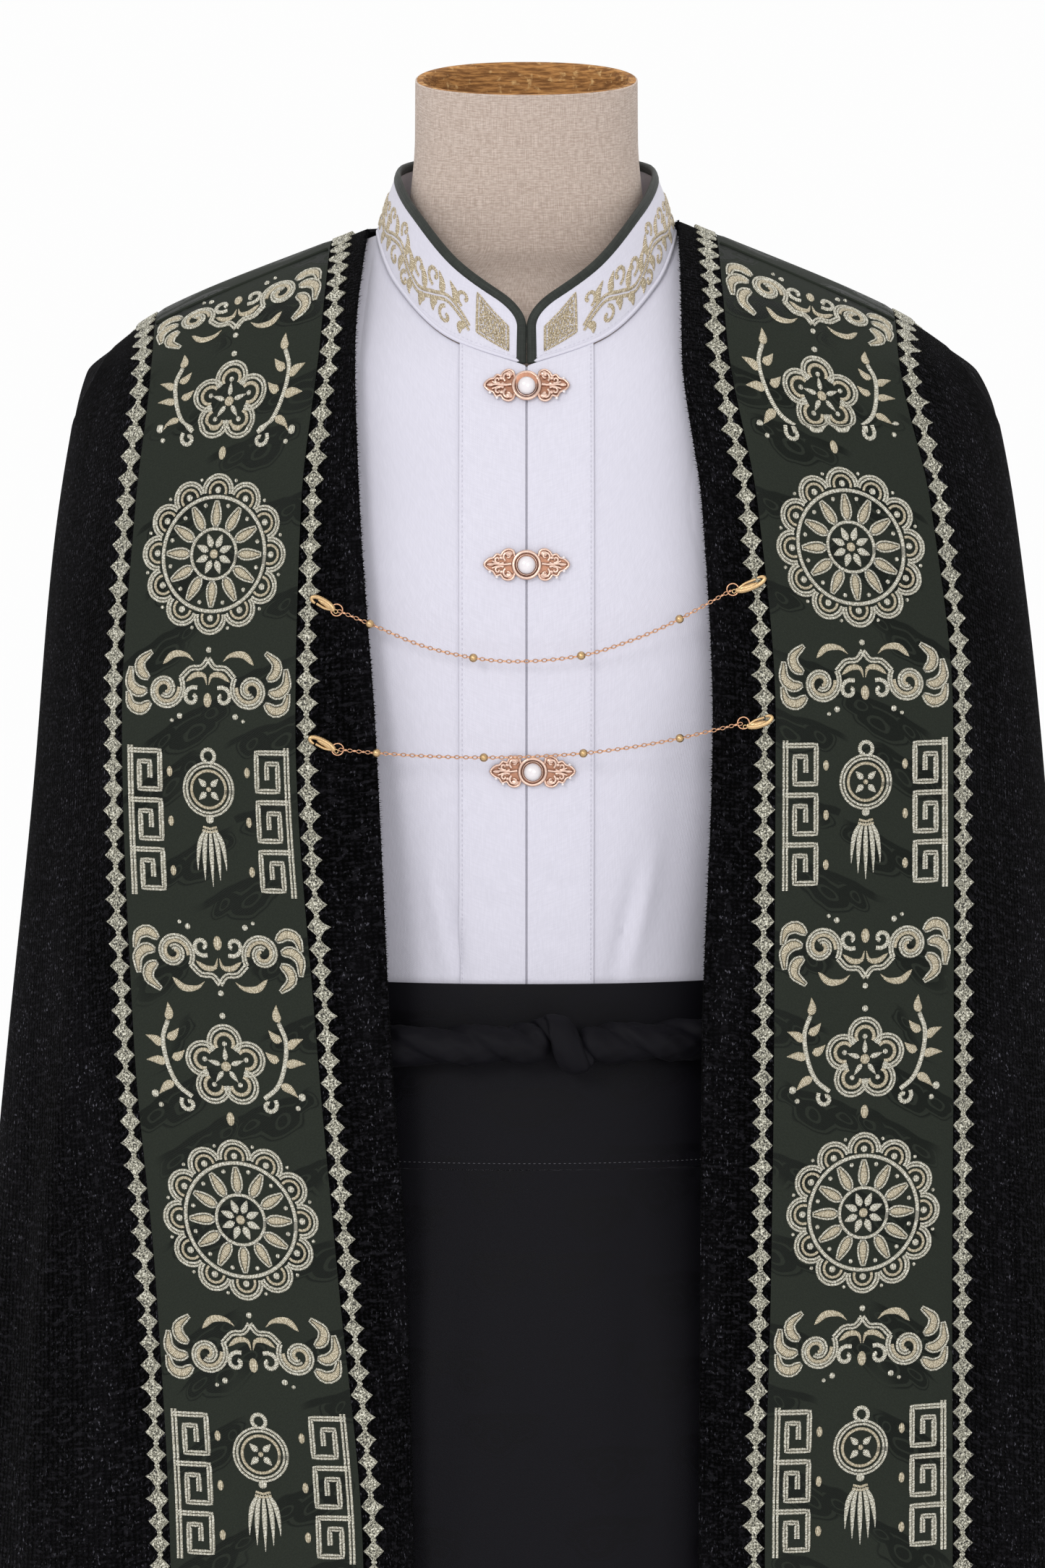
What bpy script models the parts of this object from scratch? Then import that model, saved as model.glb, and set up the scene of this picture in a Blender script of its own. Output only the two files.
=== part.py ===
"""A shirt, a long skirt and an open cape, worn by a limbless dress form on a stand.

Metres, +Z up. The front faces -Y and the viewer's right is +X. The origin is
the middle of the stand's underside. Every cloth surface is a stack of level
sections, read from short tables. A piece that lies on another is made from
that other piece's points, moved out along the same normals.
"""
import math
from collections import namedtuple

import bpy
from mathutils import Vector

SEAM_GAP = 0.0003
HALF_SEAM = SEAM_GAP / 2
SHIRT_WALL = 0.0012
SKIRT_WALL = 0.0018
CAPE_WALL = 0.0025
BAND_WALL = 0.0012
TRIM_WALL = 0.0012

Half = namedtuple("Half", "z half")
Depth = namedtuple("Depth", "z front back")
Front = namedtuple("Front", "z edge inner outer")
Neck = namedtuple("Neck", "z turn")
Arm = namedtuple("Arm", "z turn")
Wing = namedtuple("Wing", "reach half")
Ring = namedtuple("Ring", "z half front back")
SleeveRing = namedtuple("SleeveRing", "z middle half depth")
FrogPlace = namedtuple("FrogPlace", "z x")
Folds = namedtuple("Folds", "start end depth quiet pitch phase")
Station = namedtuple("Station", "share swell")
SIDES = ((-1, "left"), (1, "right"))
SHARP_ANGLE = 40.0

# Cape: half widths on each side, and depths before and behind the shoulder line.
CAPE_LEFT = (
    Half(1.4245, 0.0805), Half(1.3800, 0.1880), Half(1.3650, 0.2087), Half(1.3520, 0.2235),
    Half(1.3140, 0.2325), Half(1.2556, 0.2410), Half(1.1390, 0.2515), Half(0.9980, 0.2660),
    Half(0.7760, 0.2850), Half(0.3500, 0.3100),
)
CAPE_RIGHT = (
    Half(1.4285, 0.0770), Half(1.3800, 0.1900), Half(1.3650, 0.2130), Half(1.3520, 0.2297),
    Half(1.3300, 0.2390), Half(1.2430, 0.2535), Half(1.1510, 0.2637), Half(1.0000, 0.2750),
    Half(0.7760, 0.2900), Half(0.3500, 0.3100),
)
CAPE_DEPTH = (
    Depth(1.4300, 0.044, 0.076), Depth(1.4100, 0.064, 0.092), Depth(1.3800, 0.091, 0.113),
    Depth(1.3300, 0.112, 0.129), Depth(1.2500, 0.124, 0.135), Depth(1.1500, 0.1255, 0.134),
    Depth(1.0500, 0.127, 0.136), Depth(0.9000, 0.134, 0.144), Depth(0.6500, 0.150, 0.160),
    Depth(0.3500, 0.168, 0.178),
)
CAPE_POWER = 2.4
CAPE_NAPE = 1.4275
CAPE_HEM = 0.35
CAPE_CORNER = 1.365
RIDGE_LOW = 1.30
RIDGE_HIGH = 1.44

# Cape fronts: the open edge and the two sides of the green band, as distances from x = 0.
FRONT_LEFT = (
    Front(1.4245, 0.0805, 0.0975, 0.1860), Front(1.3650, 0.0847, 0.1019, 0.1858),
    Front(1.2870, 0.0821, 0.1105, 0.1932), Front(1.1805, 0.0746, 0.1134, 0.2003),
    Front(1.0207, 0.0668, 0.1030, 0.1943), Front(0.9067, 0.0593, 0.0927, 0.1836),
    Front(0.7755, 0.0561, 0.0806, 0.1762), Front(0.3500, 0.0500, 0.0720, 0.1680),
)
FRONT_RIGHT = (
    Front(1.4285, 0.0770, 0.0950, 0.1845), Front(1.3650, 0.0767, 0.0991, 0.1843),
    Front(1.2870, 0.0863, 0.1133, 0.1996), Front(1.1805, 0.0916, 0.1222, 0.2112),
    Front(1.0207, 0.0867, 0.1218, 0.2117), Front(0.9067, 0.0860, 0.1204, 0.2110),
    Front(0.7755, 0.0852, 0.1174, 0.2113), Front(0.3500, 0.0850, 0.1170, 0.2113),
)
TRIM_WIDTH = 0.010
TRIM_SHARES = (0.0, 0.5, 1.0)
BAND_STEPS = 3
CAPE_SIDE_STEPS = 4
SHOULDER_ROWS = 5
SHOULDER_FOOT = 1.325
SHOULDER_EASE = 1.6
CAPE_ROWS = (1.285, 1.240, 1.190, 1.135, 1.075, 1.010, 0.940, 0.860, 0.776, 0.680, 0.570, 0.460,
             CAPE_HEM)
CAPE_BACK_TURN = 9.0
CAPE_BACK_STEPS = 20

# Back of the cape: each row runs from a side seam's height to one on the middle, which levels out
# on the sixth row below the shoulder. The stretch allows for the back's greater roundness.
BACK_STRETCH = 1.085
BACK_SHOULDER = ((1.352, 0.135), (SHOULDER_FOOT, 0.162))
BACK_LEVEL_ROW = 6
BACK_EASE = 1.1
FALL_STEP = 0.0005

# Shirt: half widths and depths; the side of the body below the arm and the shoulder above it.
SHIRT_HALF = (
    Half(1.4215, 0.0750), Half(1.4021, 0.1280), Half(1.3830, 0.1740), Half(1.3735, 0.1880),
    Half(1.3600, 0.1885), Half(1.3300, 0.1800), Half(1.2900, 0.1710), Half(1.2350, 0.1630),
    Half(1.1500, 0.1480), Half(1.0500, 0.1345), Half(1.0000, 0.1345), Half(0.9300, 0.1480),
)
SHIRT_DEPTH = (
    Depth(1.4215, 0.036, 0.069), Depth(1.4000, 0.054, 0.083), Depth(1.3750, 0.077, 0.098),
    Depth(1.3547, 0.093, 0.107), Depth(1.3300, 0.103, 0.113), Depth(1.2500, 0.1165, 0.118),
    Depth(1.1500, 0.111, 0.108), Depth(1.0500, 0.0995, 0.095), Depth(1.0000, 0.0985, 0.094),
    Depth(0.9300, 0.1040, 0.104),
)
SHIRT_POWER = 2.3
SHIRT_HEM = 0.930
SHIRT_CHEST = 1.325
SHIRT_ROWS = (1.2925, 1.2600, 1.2350, 1.1900, 1.1350, 1.0850, 1.0500, 0.9950, SHIRT_HEM)
SHIRT_TOP_ROWS = 4
CHEST_EASE = 1.4
PLACKET_WIDTH = 0.033
SHIRT_FRONT_LINES = (HALF_SEAM, PLACKET_WIDTH / 2, PLACKET_WIDTH)
SHIRT_BACK_LINES = (0.0, 0.022, 0.046)
SHIRT_FRONT_SEAMS = (0, 13, 26.1, 55, 90)
SHIRT_BACK_SEAMS = (180, 160, 140, 115, 90)
SHOULDER_XS = (0.105, 0.133, 0.161, 0.1879)
ARMHOLE_TOP = 1.3735
ARMHOLE_FOOT = 1.2350
ARMHOLE = (Arm(1.3735, 90.0), Arm(1.3600, 72.0), Arm(1.3300, 60.0), Arm(1.2925, 57.0),
           Arm(1.2600, 66.0), Arm(1.2350, 90.0))

# Neck seam and stand collar: heights against the turn round the neck, 0 at the front.
NECK_HALF = 0.0750
NECK_SEAM = (Neck(1.3547, 0), Neck(1.3680, 30), Neck(1.3950, 60), Neck(1.4215, 90),
             Neck(1.4235, 130), Neck(1.4240, 180))
COLLAR_TOP = (Neck(1.3826, 0), Neck(1.4060, 30), Neck(1.4350, 60), Neck(1.4530, 90),
              Neck(1.4610, 130), Neck(1.4650, 180))
COLLAR_HALF = 0.0650
COLLAR_MIDDLE = -0.0080
COLLAR_REACH = 0.0770
COLLAR_SIDE_SHIFT = 0.0175
COLLAR_TURN = 15.0
COLLAR_START = 0.35
BINDING_TURN = 3.6
BINDING_GAP_TURN = 0.6
BINDING_RISE = 0.88
BINDING_GAP_RISE = 0.022
COLLAR_RISES = (0.0, 0.3, 0.6, BINDING_RISE - BINDING_GAP_RISE, BINDING_RISE, 1.0)
BINDING_INSIDE = 0.0003
BINDING_OUTSIDE = 0.0006

# Sleeves hang straight down inside the cape.
SLEEVE_SIDES = 12
SLEEVE_TOP = 1.200
SLEEVE_RINGS = (
    SleeveRing(SLEEVE_TOP, 0.1975, 0.0270, 0.0620),
    SleeveRing(1.080, 0.2090, 0.0260, 0.0570),
    SleeveRing(0.930, 0.2260, 0.0240, 0.0500),
    SleeveRing(0.7903, 0.2420, 0.0220, 0.0430),
)
CUFF_RINGS = (
    SleeveRing(0.7900, 0.2420, 0.0228, 0.0438),
    SleeveRing(0.7350, 0.2470, 0.0228, 0.0438),
)
SLEEVE_CAP_BULGE = 0.012
SLEEVE_CAP_SHARES = (0.2, 0.4, 0.6, 0.8)
ARMHOLE_OUT_TOP = 0.0010
ARMHOLE_OUT_MORE = 0.0022
ARMHOLE_DROP = 0.002

# Skirt, with its wide waistband.
SKIRT_HALF = (Half(1.0500, 0.1410), Half(0.9580, 0.1500), Half(0.8500, 0.1770), Half(0.7500, 0.1960),
              Half(0.5000, 0.2260), Half(0.1000, 0.2600))
SKIRT_DEPTH = (Depth(1.0500, 0.1037, 0.0990), Depth(0.9580, 0.1105, 0.1080),
               Depth(0.8500, 0.1240, 0.1300), Depth(0.7500, 0.1300, 0.1420),
               Depth(0.5000, 0.1420, 0.1600), Depth(0.1000, 0.1600, 0.1850))
SKIRT_POWER = 2.2
SKIRT_TOP = 1.050
SKIRT_BAND_MIDDLE = 1.004
SKIRT_YOKE = 0.958
SKIRT_HEM = 0.100
SKIRT_ROWS = (0.920, 0.870, 0.810, 0.730, 0.620, 0.490, 0.360, 0.230, SKIRT_HEM)
SKIRT_TURN = 9.0

# Waist tie: two strands twisted together, and the wrap that holds them in front.
TIE_HEIGHT = 1.021
TIE_LONG = 0.0108
TIE_SHORT = 0.0070
TIE_STATIONS = 64
TIE_TWISTS = 9.0
TIE_SECTION = 6
KNOT_X = 0.018
KNOT_HALF = 0.0062
KNOT_RISE = 0.0118
TIE_END_GAP = 0.0024
KNOT_PROUD = 0.0016
KNOT_SIDES = 12
KNOT_STATIONS = (Station(-1, 0.96), Station(0, 1.0), Station(1, 0.96))

# Dress form: a padded torso with a hollow neck, a pole and a round base.
FORM_RINGS = (
    Ring(0.8000, 0.1450, 0.1010, 0.1060), Ring(0.8500, 0.1620, 0.1130, 0.1180),
    Ring(0.9100, 0.1440, 0.1010, 0.1010), Ring(0.9700, 0.1300, 0.0930, 0.0900),
    Ring(1.0300, 0.1240, 0.0900, 0.0860), Ring(1.1000, 0.1320, 0.0970, 0.0930),
    Ring(1.1700, 0.1440, 0.1060, 0.1030), Ring(1.2350, 0.1550, 0.1110, 0.1100),
    Ring(1.2900, 0.1620, 0.1070, 0.1090), Ring(1.3300, 0.1700, 0.0950, 0.1040),
    Ring(1.3550, 0.1770, 0.0820, 0.0950), Ring(1.3670, 0.1790, 0.0690, 0.0840),
    Ring(1.3760, 0.1640, 0.0560, 0.0740), Ring(1.3920, 0.1270, 0.0440, 0.0640),
    Ring(1.4020, 0.0900, 0.0380, 0.0580), Ring(1.4150, 0.0630, 0.0400, 0.0560),
    Ring(1.4400, 0.0590, 0.0430, 0.0580), Ring(1.4700, 0.0565, 0.0460, 0.0590),
    Ring(1.5000, 0.0563, 0.0500, 0.0600),
)
FORM_POWER = 2.2
FORM_TURN = 15.0
FORM_STEPS = 24
FORM_BOTTOM = FORM_RINGS[0].z
FORM_TOP = FORM_RINGS[-1].z
NECK_WALL = 0.0045
NECK_WELL = 1.400
NECK_WELL_RIM = 0.02
NECK_TILT = 0.196
NECK_TILT_FROM = 1.4150
NECK_PIVOT = 0.005
POLE_RADIUS = 0.016
BASE_RADIUS = 0.170
BASE_HEIGHT = 0.012
BASE_BEVEL = 0.003
BASE_BEVEL_STEPS = 2
ROUND_STEPS = 32

# Metal frog clasps on the shirt front.
FROG_PLACES = (FrogPlace(1.3456, 0.0), FrogPlace(1.2580, 0.0), FrogPlace(1.1560, 0.003))
FROG_WING = (Wing(0.0000, 0.0072), Wing(0.0045, 0.0060), Wing(0.0075, 0.0046), Wing(0.0105, 0.0085),
             Wing(0.0135, 0.0072), Wing(0.0160, 0.0080), Wing(0.0185, 0.0050), Wing(0.0220, 0.0014))
FROG_THICKNESS = 0.0020
FROG_SEAT = 0.0002
FROG_SLOPE_REACH = 0.008
PEARL_RADIUS = 0.0047
PEARL_DEPTH = 0.0026
PEARL_SEGMENTS = 10
PEARL_RINGS = 6

# Chains: the clasp's tip on the trim, then the chain's own route, which sags from ring to ring.
CHAIN_RADIUS = 0.0010
CHAIN_POINTS = 40
CHAIN_BEVEL = 2
ROUTE_STEPS = 20
CLASP_RADIUS = 0.0018
CLASP_SEAT = 0.0013
CLASP_GAP = 0.0007
CLASP_WIDE = 1.5
CLASP_FLAT = 0.85
CLASP_SIDES = 10
CLASP_STATIONS = (Station(0.0, 0.45), Station(0.15, 0.8), Station(0.45, 1.0), Station(0.8, 0.85),
                  Station(1.0, 0.35))
UPPER_ROUTE = ((-0.0924, -0.1238, 1.2358), (-0.0747, -0.1243, 1.2284), (-0.0500, -0.1250, 1.2182),
               (-0.0227, -0.1256, 1.2121), (0.0010, -0.1258, 1.2110), (0.0272, -0.1256, 1.2138),
               (0.0490, -0.1251, 1.2203), (0.0714, -0.1244, 1.2298), (0.1004, -0.1236, 1.2458))
LOWER_ROUTE = ((-0.0920, -0.1248, 1.1677), (-0.0736, -0.1254, 1.1660), (-0.0480, -0.1260, 1.1644),
               (-0.0218, -0.1263, 1.1638), (0.0031, -0.1263, 1.1642), (0.0268, -0.1262, 1.1658),
               (0.0500, -0.1258, 1.1686), (0.0746, -0.1252, 1.1731), (0.1057, -0.1240, 1.1805))
UPPER_TIPS = ((-0.1051, 1.2411), (0.1163, 1.2508))
LOWER_TIPS = ((-0.1062, 1.1720), (0.1202, 1.1816))

# Folds of the cape and the skirt: waves that start below a height and deepen to the hem.
CAPE_FOLDS = Folds(1.230, CAPE_HEM, 0.015, 58.0, 34.0, 8.0)
SKIRT_FOLDS = Folds(0.930, SKIRT_HEM, 0.017, 42.0, 28.0, 4.0)
FOLD_RAMP = 22.0
FOLD_GROWTH = 1.25


def track(rows, column, key="z"):
    """Return a smooth curve through one column of a table, without overshoot."""
    points = sorted((getattr(row, key), getattr(row, column)) for row in rows)
    keys = [point[0] for point in points]
    values = [point[1] for point in points]
    slopes = [(values[i + 1] - values[i]) / (keys[i + 1] - keys[i]) for i in range(len(keys) - 1)]
    tangents = [slopes[0]]
    for before, after in zip(slopes, slopes[1:]):
        tangents.append(2 * before * after / (before + after) if before * after > 0 else 0.0)
    tangents.append(slopes[-1])

    def value(where):
        if where <= keys[0]:
            return values[0] + tangents[0] * (where - keys[0])
        if where >= keys[-1]:
            return values[-1] + tangents[-1] * (where - keys[-1])
        i = max(k for k in range(len(keys) - 1) if keys[k] <= where)
        span = keys[i + 1] - keys[i]
        t = (where - keys[i]) / span
        rise = t * t * (3 - 2 * t)
        start = t * (1 - t) * (1 - t) * span * tangents[i]
        end = -t * t * (1 - t) * span * tangents[i + 1]
        return values[i] + (values[i + 1] - values[i]) * rise + start + end

    return value


def fold_height(folds, turn, z):
    """How far a fold stands out at a turn from the front, in degrees, and a height."""
    if folds is None or z >= folds.start:
        return 0.0
    around = abs(turn)
    window = min(max((around - folds.quiet) / FOLD_RAMP, 0.0), 1.0)
    growth = ((folds.start - z) / (folds.start - folds.end)) ** FOLD_GROWTH
    wave = math.cos(math.radians(360 * (around - folds.phase) / folds.pitch))
    return folds.depth * growth * window * wave


class Skin:
    """A surface of level sections, each a rounded oval with its own sides, front and back."""

    def __init__(self, left, right, depth, power, folds=None):
        self.left = track(left, "half")
        self.right = track(right, "half")
        self.front = track(depth, "front")
        self.back = track(depth, "back")
        self.power = power
        self.folds = folds

    def half(self, side, z):
        """The half width on one side at a height."""
        return self.right(z) if side > 0 else self.left(z)

    def turn_at(self, x, z):
        """The turn, from 0 to 90 degrees, at which the front passes a distance x from the middle."""
        share = min(abs(x) / self.half(x, z), 1.0)
        return math.degrees(math.asin(share ** (self.power / 2)))

    def point(self, turn, z):
        """The place at a turn from the front towards +X, in degrees, and a height."""
        angle = math.radians(turn)
        sine, cosine = math.sin(angle), math.cos(angle)
        half = self.half(sine, z)
        depth = self.front(z) if cosine >= 0 else self.back(z)
        x = half * math.copysign(abs(sine) ** (2 / self.power), sine)
        y = -depth * math.copysign(abs(cosine) ** (2 / self.power), cosine)
        out = Vector((x / half ** 2, y / depth ** 2, 0)).normalized()
        wrapped = (turn + 180) % 360 - 180
        return Vector((x, y, z)) + out * fold_height(self.folds, wrapped, z)

    def normal(self, turn, z):
        """The outward direction there."""
        across = self.point(turn + 1, z) - self.point(turn - 1, z)
        down = self.point(turn, z - 0.001) - self.point(turn, z + 0.001)
        return down.cross(across).normalized()

    def knot(self, turn, z):
        """A point of a sheet with its outward normal."""
        return self.point(turn, z), self.normal(turn, z)

    def ridge(self, side, x):
        """The height at which the outline is as wide as x, above the shoulder's end."""
        low, high = RIDGE_LOW, RIDGE_HIGH
        for _ in range(40):
            middle = (low + high) / 2
            if self.half(side, middle) > abs(x):
                low = middle
            else:
                high = middle
        return (low + high) / 2


CAPE = Skin(CAPE_LEFT, CAPE_RIGHT, CAPE_DEPTH, CAPE_POWER, CAPE_FOLDS)
SHIRT = Skin(SHIRT_HALF, SHIRT_HALF, SHIRT_DEPTH, SHIRT_POWER)
SKIRT = Skin(SKIRT_HALF, SKIRT_HALF, SKIRT_DEPTH, SKIRT_POWER, SKIRT_FOLDS)


def add_material(name, colour, roughness, metallic=0.0):
    """A plain finish, with its colour in linear light."""
    material = bpy.data.materials.new(name)
    material.use_nodes = True
    shader = material.node_tree.nodes["Principled BSDF"]
    shader.inputs["Base Color"].default_value = (*colour, 1.0)
    shader.inputs["Roughness"].default_value = roughness
    shader.inputs["Metallic"].default_value = metallic
    return material


def add_object(name, vertices, faces, material, smooth=True):
    """Make one closed object, with its faces turned outward."""
    volume = 0.0
    for face in faces:
        for second, third in zip(face[1:], face[2:]):
            volume += vertices[face[0]].dot(vertices[second].cross(vertices[third]))
    if volume < 0:
        faces = [(face[0], *reversed(face[1:])) for face in faces]
    mesh = bpy.data.meshes.new(name)
    mesh.from_pydata([tuple(vertex) for vertex in vertices], [], faces)
    mesh.materials.append(material)
    if smooth:
        mesh.shade_smooth()
        mesh.set_sharp_from_angle(angle=math.radians(SHARP_ANGLE))
    piece = bpy.data.objects.new(name, mesh)
    bpy.context.scene.collection.objects.link(piece)
    return piece


def add_wall(name, sheet, low, high, material, round_and_round=False, keep=None):
    """Close a wall between two offsets of a sheet, which is rows of points with normals."""
    rows, columns = len(sheet), len(sheet[0])
    last = columns if round_and_round else columns - 1
    keep = keep or (lambda row, column: True)

    def kept(row, column):
        if round_and_round:
            column %= columns
        return 0 <= row < rows - 1 and 0 <= column < last and keep(row, column)

    numbers = {}
    vertices = []

    def corner(row, column, side):
        key = (row, column % columns, side)
        if key not in numbers:
            point, normal = sheet[row][key[1]]
            numbers[key] = len(vertices)
            vertices.append(point + normal * (high if side else low))
        return numbers[key]

    faces = []
    for row in range(rows - 1):
        for column in range(last):
            if not kept(row, column):
                continue
            around = [(row, column), (row, column + 1), (row + 1, column + 1), (row + 1, column)]
            faces.append(tuple(corner(*place, 1) for place in around))
            faces.append(tuple(corner(*place, 0) for place in (around[0], *reversed(around[1:]))))
            beyond = [(row - 1, column), (row, column + 1), (row + 1, column), (row, column - 1)]
            for number, neighbour in enumerate(beyond):
                if not kept(*neighbour):
                    first, second = around[number], around[(number + 1) % 4]
                    inside = (corner(*first, 0), corner(*second, 0))
                    faces.append((*inside, corner(*second, 1), corner(*first, 1)))
    return add_object(name, vertices, faces, material)


def tube_faces(rings, sides):
    """The faces of a closed roll: rings of equal count, one after another, with a cap at each end."""
    faces = []
    for row in range(rings - 1):
        for k in range(sides):
            a, b = row * sides + k, row * sides + (k + 1) % sides
            faces.append((a, b, b + sides, a + sides))
    faces.append(tuple(reversed(range(sides))))
    faces.append(tuple(range((rings - 1) * sides, rings * sides)))
    return faces


def shifted(knot, y):
    """The same point of a sheet, moved forward or back."""
    return knot[0] + Vector((0, y, 0)), knot[1]


def front_lines(side):
    """The columns of a cape front as distances from the middle, edge first."""
    table = FRONT_RIGHT if side > 0 else FRONT_LEFT
    edge, inner, outer = (track(table, name) for name in ("edge", "inner", "outer"))
    lines = [edge]
    for share in TRIM_SHARES[::-1]:
        lines.append(lambda z, share=share: inner(z) - SEAM_GAP - TRIM_WIDTH * share)
    for step in range(BAND_STEPS + 1):
        lines.append(lambda z, t=step / BAND_STEPS: inner(z) + (outer(z) - inner(z)) * t)
    for share in TRIM_SHARES:
        lines.append(lambda z, share=share: outer(z) + SEAM_GAP + TRIM_WIDTH * share)
    return lines


# The first and last column of each strip that lies on the cape.
INNER_TRIM = (1, 3)
BAND = (4, 4 + BAND_STEPS)
OUTER_TRIM = (5 + BAND_STEPS, 7 + BAND_STEPS)


def line_ridge(side, line):
    """Where a column of the cape front crosses the shoulder: its distance and height."""
    z = SHOULDER_FOOT
    for _ in range(8):
        z = CAPE.ridge(side, line(z))
    return line(z), z


def cape_front_sheet(side):
    """Rows of points from the shoulder to the hem, each from the open edge to the side seam."""
    lines = front_lines(side)
    tops = [line_ridge(side, line) for line in lines]
    start, end = tops[-1][0], CAPE.half(side, CAPE_CORNER)
    for step in range(1, CAPE_SIDE_STEPS + 1):
        x = start + (end - start) * step / CAPE_SIDE_STEPS
        tops.append((x, CAPE.ridge(side, x)))
    sheet = []
    for row in range(SHOULDER_ROWS + 1):
        share = (row / SHOULDER_ROWS) ** SHOULDER_EASE
        knots = []
        for number, (x, top) in enumerate(tops):
            z = top + (SHOULDER_FOOT - top) * share
            if number < len(lines):
                turn = CAPE.turn_at(side * lines[number](z), z)
            elif number == len(tops) - 1:
                turn = 90.0
            else:
                foot = side_turn(side, lines, number, SHOULDER_FOOT)
                foot_x = abs(CAPE.point(side * foot, SHOULDER_FOOT).x)
                turn = CAPE.turn_at(side * (x + (foot_x - x) * share), z)
            if row == 0:
                turn = 90.0
            seam = row == 0 or number == len(tops) - 1
            knots.append(shifted(CAPE.knot(side * turn, z), -HALF_SEAM if seam else 0.0))
        sheet.append(knots)
    for z in CAPE_ROWS:
        knots = []
        for number in range(len(tops)):
            if number < len(lines):
                turn = CAPE.turn_at(side * lines[number](z), z)
            else:
                turn = side_turn(side, lines, number, z)
            seam = number == len(tops) - 1
            knots.append(shifted(CAPE.knot(side * turn, z), -HALF_SEAM if seam else 0.0))
        sheet.append(knots)
    return sheet


def side_turn(side, lines, number, z):
    """The turn of a column between the outer trim and the side seam."""
    share = (number - len(lines) + 1) / CAPE_SIDE_STEPS
    start = CAPE.turn_at(side * lines[-1](z), z)
    return start + (90.0 - start) * share


def back_fall(distance):
    """The height on the middle of the cape's back, a distance along the cloth below the nape."""
    z, gone = CAPE_NAPE, 0.0
    while True:
        length = (CAPE.point(180, z - FALL_STEP) - CAPE.point(180, z)).length
        if gone + length >= distance:
            return z - FALL_STEP * (distance - gone) / length
        gone += length
        z -= FALL_STEP


def cape_back_rows():
    """Each row's height at the left seam, the middle and the right seam, from the neck down."""
    left = [line_ridge(-1, line) for line in front_lines(-1)]
    right = [line_ridge(1, line) for line in front_lines(1)]
    neck = left[0][0]
    rows = [(left[0][1], CAPE_NAPE, right[0][1])]
    for (x, left_z), (_, right_z) in zip(left[1:], right[1:]):
        rows.append((left_z, back_fall((x - neck) * BACK_STRETCH), right_z))
    rows += [(z, back_fall(distance), z) for z, distance in BACK_SHOULDER]
    low = rows[-1][1]
    for number, z in enumerate(CAPE_ROWS):
        middle = z
        if number < BACK_LEVEL_ROW:
            middle = low - (low - CAPE_ROWS[BACK_LEVEL_ROW - 1]) * (number + 1) / BACK_LEVEL_ROW
        rows.append((z, middle, z))
    return rows


def cape_back_sheet():
    """Rows of points from the neck to the hem, each from the left seam round to the right."""
    sheet = []
    for left, middle, right in cape_back_rows():
        knots = []
        for step in range(CAPE_BACK_STEPS + 1):
            turn = -90.0 - CAPE_BACK_TURN * step
            away = 2 * step / CAPE_BACK_STEPS
            share = math.sin(math.radians(90 * (away if away <= 1 else 2 - away))) ** BACK_EASE
            side_z = left if away <= 1 else right
            z = side_z + (middle - side_z) * share
            seam = step in (0, CAPE_BACK_STEPS)
            knots.append(shifted(CAPE.knot(turn, z), HALF_SEAM if seam else 0.0))
        sheet.append(knots)
    return sheet


def make_cape(tweed, jacquard, braid):
    """The two fronts and the back, with the band and the two trims that lie on each."""
    strips = (
        ("trim_inner_", INNER_TRIM, TRIM_WALL, braid),
        ("trim_outer_", OUTER_TRIM, TRIM_WALL, braid),
    )
    for side, word in SIDES:
        sheet = cape_front_sheet(side)
        add_wall("cape_front_" + word, sheet, -CAPE_WALL, 0.0, tweed)
        for name, (first, last), wall, cloth in (("band_front_", BAND, BAND_WALL, jacquard), *strips):
            strip = [row[first:last + 1] for row in sheet]
            add_wall(name + word, strip, SEAM_GAP, SEAM_GAP + wall, cloth)
    sheet = cape_back_sheet()
    add_wall("cape_back", sheet, -CAPE_WALL, 0.0, tweed)
    for name, (first, last), wall, cloth in (("band_", BAND, BAND_WALL, jacquard), *strips):
        add_wall(name + "back", sheet[first:last + 1], SEAM_GAP, SEAM_GAP + wall, cloth)


def neck_point(turn, lift):
    """A point of the shirt's neck seam, lifted up the neck."""
    around = turn if turn <= 180 else 360 - turn
    z = track(NECK_SEAM, "z", "turn")(around)
    x = NECK_HALF * math.sin(math.radians(turn))
    body = SHIRT.turn_at(x, z)
    if around > 90:
        body = 180 - body
    if around == 90:
        body = 90
    side = 1 if turn <= 180 else -1
    return SHIRT.point(side * body, z) + Vector((0, 0, lift))


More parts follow.
